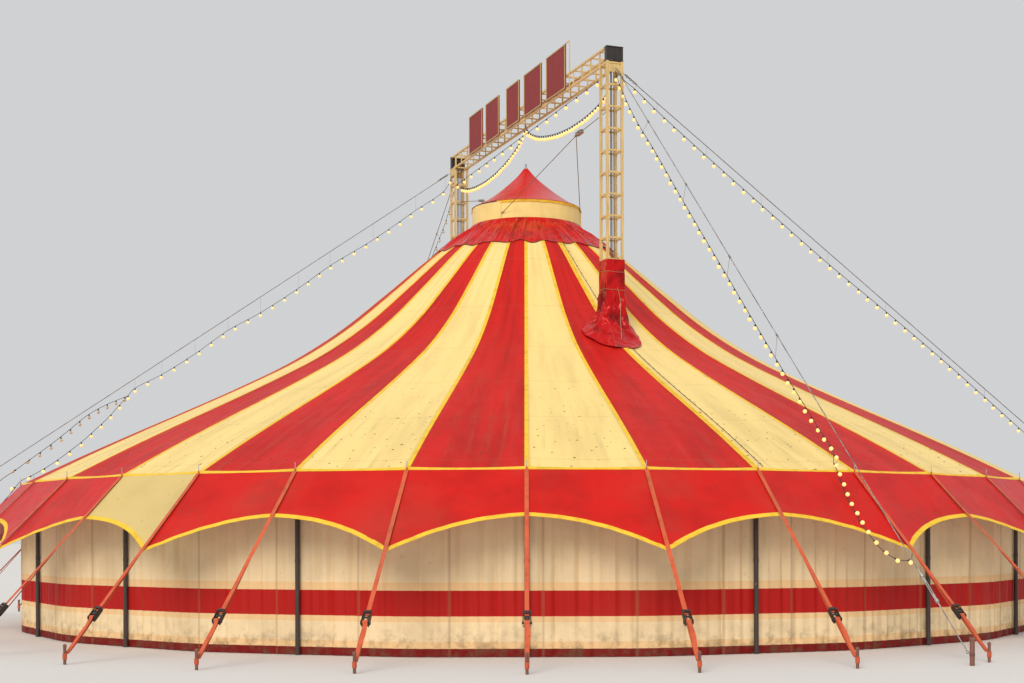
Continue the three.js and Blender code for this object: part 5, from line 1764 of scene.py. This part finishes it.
def bulbs(path, spacing, radius, start=0.12, stop=0.15):
    """Lamps along a path at equal shares of its length over the spacing, which may differ from step
    to step. Each hangs straight down, and leans away from the tent where the path lies close to the
    cloth. Returns their glass and their sockets."""
    steps = np.linalg.norm(np.diff(path, axis=0), axis=1)
    far, order = (np.concatenate([[0], np.cumsum(s)]) for s in (steps, steps / spacing))
    first, last = np.interp([start, far[-1] - stop], far, order)
    at = np.interp(np.linspace(first, last, round(last - first) + 1), order, far)
    places = np.stack([np.interp(at, far, path[:, d]) for d in range(3)], axis=1)
    outward = places * [1, 1, 0]
    reach = np.linalg.norm(outward, axis=1, keepdims=True)
    near_eave = np.clip((reach - 10.3) / 0.7, 0, 1)
    lean = near_eave * np.clip((4.2 - places[:, 2:]) / 0.8, 0, 1)
    swing = 0.10 * np.stack([np.sin(at * 37.0), np.cos(at * 23.0), np.zeros_like(at)], axis=1)
    axis = unit(np.array([0, 0, -1.0]) * (1 - 0.45 * lean) + outward / reach * lean * 1.1 + swing)
    side = unit(np.cross(axis, [0.2, 1.0, 0.1]))
    frames = frames_at(places, side, np.cross(axis, side), axis)
    r = radius
    a = np.linspace(0.35, np.pi, 8)
    globe = [(0.011, 0.046), *zip(r * np.sin(a), 0.046 + r * 0.9 - r * np.cos(a))]
    globe[-1] = (0, globe[-1][1])
    socket = [(0, 0.004), (0.013, 0.004), (0.015, 0.012), (0.015, 0.040), (0.012, 0.048), (0, 0.048)]
    return turned(globe, 10).repeated(frames), turned(socket, 8).repeated(frames)


class BIGTOP_OT_lights(bpy.types.Operator):
    """Strings of lights under guys, truss and eave, with their bulbs and hangers"""

    bl_idname = "bigtop.lights"
    bl_label = "Strings of lights"

    def execute(self, context):
        lights = context.scene.bigtop_lights
        self.radius = lights.bulb_radius
        self.glass = glowing("bulb_glass", lights.glow, lights.brightness)
        self.out = glowing("bulb_glass_out", lights.glass, 0.0)
        self.dark = rubber("string_cable", (0.03, 0.027, 0.025))
        turn = turn_z(MAST_AZIMUTH)
        flip = np.array([-1.0, -1.0, 1.0])
        front = np.vstack([FRONT_STRING, string_end(30)])
        right = under_guy(0, RIGHT_DROPS)
        left = np.vstack([under_guy(1, LEFT_DROPS), LEFT_STRING, string_end(-70)])
        swag = np.array(SWAG) @ turn[:3, :3].T
        back_swag = (np.array(SWAG) * [1, -1, 1]) @ turn[:3, :3].T
        left_spacing = np.where(curve_through(left, CORD_STEP)[1:, 2] < LEFT_STRING[0][2],
                                lights.low_spacing, lights.left_spacing)
        ridge = np.array([[-0.16, -4.5946, 11.09], [-0.16, 4.5946, 10.88]]) @ turn[:3, :3].T
        self.taut("ridge_light_string", ridge, lights.ridge_spacing, (0, 0, 1))
        self.free("right_light_string", right, lights.right_spacing, (0.2, 0.3, 1))
        self.free("front_light_string", front, lights.front_spacing, (0.82, 0.57, 0))
        self.free("back_light_string", front * flip, lights.back_spacing, (-0.82, -0.57, 0), self.out)
        self.free("left_light_string", left, left_spacing, (0.2, 0.3, 1))
        self.free("left_unlit_string", UNLIT_STRING, lights.unlit_spacing, (0.2, 0.3, 1), self.out, [])
        self.free("front_light_swag", swag, lights.swag_spacing, (0.93, 0.36, 0))
        self.free("back_light_swag", back_swag, lights.swag_spacing, (0.93, 0.36, 0))
        self.hangers("right", 0, RIGHT_DROPS)
        self.hangers("left", 1, LEFT_DROPS)
        self.ties("front", 0, front)
        self.ties("back", 1, front * flip)
        return {"FINISHED"}

    def hangers(self, name, end, drops):
        """Thin upright wires by which a side string hangs from its guy, tied at every drop."""
        start, stop, _ = guy_ends(end, True)
        share, drop = np.array(drops[:-1] if end == 0 else drops).T[..., None]
        high = start + (stop - start) * share
        piece(name + "_string_hangers", rods(high, high - [0, 0, 1] * drop, 0.002, 6),
              wire("hanger_wire", (0.3, 0.28, 0.25)))

    def ties(self, name, end, points):
        """Short wires from four places on an end guy to the nearest points of the string beside it."""
        start, stop, _ = guy_ends(end, False)
        path = curve_through(points, CORD_STEP)
        share = np.array([0.12, 0.25, 0.39, 0.53])[:, None]
        held = start + (stop - start) * share
        near = path[np.linalg.norm(path[None] - held[:, None], axis=-1).argmin(axis=1)]
        line = unit(stop - start)
        wires = rods(held, near, 0.003, 6)
        clips = rods(held - line * 0.03, held + line * 0.03, 0.016, 8)
        piece(name + "_string_ties", joined(wires, clips), wire("tie_wire", (0.3, 0.28, 0.25)))

    def cable(self, name, path, lift, replaces):
        """Round cable of a string."""
        return piece(name + "_cable", carried(path, circle(CORD_DIAMETER / 2, 8), lift), self.dark,
                     replaces=replaces)

    def dress(self, name, path, spacing, glass):
        """Bulbs and sockets of a string."""
        globes, sockets = bulbs(path, spacing, self.radius)
        return [
            piece(name + "_bulbs", globes, glass),
            piece(name + "_sockets", sockets, self.dark),
        ]

    def taut(self, name, ends, spacing, lift):
        """String that is held taut along a straight line."""
        path = ends[0] + (ends[1] - ends[0]) * np.linspace(0, 1, 60)[:, None]
        self.cable(name, path, lift, [name])
        self.dress(name, path, spacing, self.glass)

    def free(self, name, points, spacing, lift, glass=None, replaces=None):
        """String that hangs free for some of its way. It replaces the node of its own name, unless
        other ones are given."""
        path = curve_through(points, CORD_STEP)
        cable = self.cable(name, path, lift, [name] if replaces is None else replaces)
        lamps = self.dress(name, path, spacing, glass or self.glass)


# Stage

class BIGTOP_OT_stage(bpy.types.Operator):
    """Plain pale floor, soft light and the camera"""

    bl_idname = "bigtop.stage"
    bl_label = "Stage"

    def execute(self, context):
        stage = context.scene.bigtop_stage
        scene = context.scene
        camera = bpy.data.cameras.new("camera")
        camera.sensor_width = 36.0
        camera.lens = CAMERA_LENS
        camera.shift_x, camera.shift_y = CAMERA_SHIFT
        camera.clip_end = 500
        holder = bpy.data.objects.new("camera", camera)
        holder.location = (0, -stage.distance, stage.eye)
        holder.rotation_euler = (math.pi / 2, CAMERA_ROLL, 0)
        scene.collection.objects.link(holder)
        scene.camera = holder
        f = Finish("floor_paint", roughness=0.9)
        f.colour(f.mix(stage.floor, shade(stage.floor, 0.96), f.noise(f.place(), 0.3)))
        floor = turned([(0, -0.004), (400, -0.004)], 64)
        mesh = bpy.data.meshes.new("floor")
        mesh.from_pydata(floor.points.tolist(), [], floor.quads.tolist())
        work = bmesh.new()
        work.from_mesh(mesh)
        bmesh.ops.remove_doubles(work, verts=work.verts, dist=1e-4)
        work.to_mesh(mesh)
        work.free()
        mesh.materials.append(f.material)
        ground = bpy.data.objects.new("floor", mesh)
        scene.collection.objects.link(ground)
        sun = bpy.data.lights.new("key", "SUN")
        sun.energy = stage.sun
        sun.angle = math.radians(35)
        sun.color = (1.0, 0.96, 0.9)
        key = bpy.data.objects.new("key", sun)
        key.rotation_euler = (math.radians(52), math.radians(8), math.radians(-24))
        scene.collection.objects.link(key)
        world = bpy.data.worlds.new("studio")
        world.use_nodes = True
        world.node_tree.nodes["Background"].inputs["Color"].default_value = (0.93, 0.94, 0.96, 1)
        world.node_tree.nodes["Background"].inputs["Strength"].default_value = stage.sky
        scene.world = world
        scene.view_settings.view_transform = "Standard"
        return {"FINISHED"}


class BIGTOP_PT_panel(bpy.types.Panel):
    """Lists the tent's pieces"""

    bl_idname = "BIGTOP_PT_panel"
    bl_label = "Big Top"
    bl_space_type = "VIEW_3D"
    bl_region_type = "UI"
    bl_category = "Big Top"

    def draw(self, context):
        for operator in OPERATORS:
            self.layout.operator(operator.bl_idname)
        for group in GROUPS:
            box = self.layout.box()
            settings = getattr(context.scene, group)
            for name in settings.bl_rna.properties.keys():
                if name not in ("rna_type", "name"):
                    box.prop(settings, name)


OPERATORS = (
    BIGTOP_OT_stage,
    BIGTOP_OT_lights,
    BIGTOP_OT_canopy,
    BIGTOP_OT_seams,
    BIGTOP_OT_eave,
    BIGTOP_OT_valance,
    BIGTOP_OT_walls,
    BIGTOP_OT_poles,
    BIGTOP_OT_straps,
    BIGTOP_OT_masts,
    BIGTOP_OT_boots,
    BIGTOP_OT_truss,
    BIGTOP_OT_boards,
    BIGTOP_OT_lantern,
    BIGTOP_OT_guys,
    BIGTOP_OT_hoist,
)
GROUPS = {
    "bigtop_cloth": ClothSettings,
    "bigtop_metal": MetalSettings,
    "bigtop_lights": LightSettings,
    "bigtop_stage": StageSettings,
}
CLASSES = (*GROUPS.values(), *OPERATORS, BIGTOP_PT_panel)


def register():
    for item in CLASSES:
        bpy.utils.register_class(item)
    for name, group in GROUPS.items():
        setattr(bpy.types.Scene, name, bpy.props.PointerProperty(type=group))


def unregister():
    for name in GROUPS:
        delattr(bpy.types.Scene, name)
    for item in reversed(CLASSES):
        bpy.utils.unregister_class(item)


def main():
    register()
    for operator in OPERATORS:
        group, name = operator.bl_idname.split(".")
        getattr(getattr(bpy.ops, group), name)()


if __name__ == "__main__":
    main()
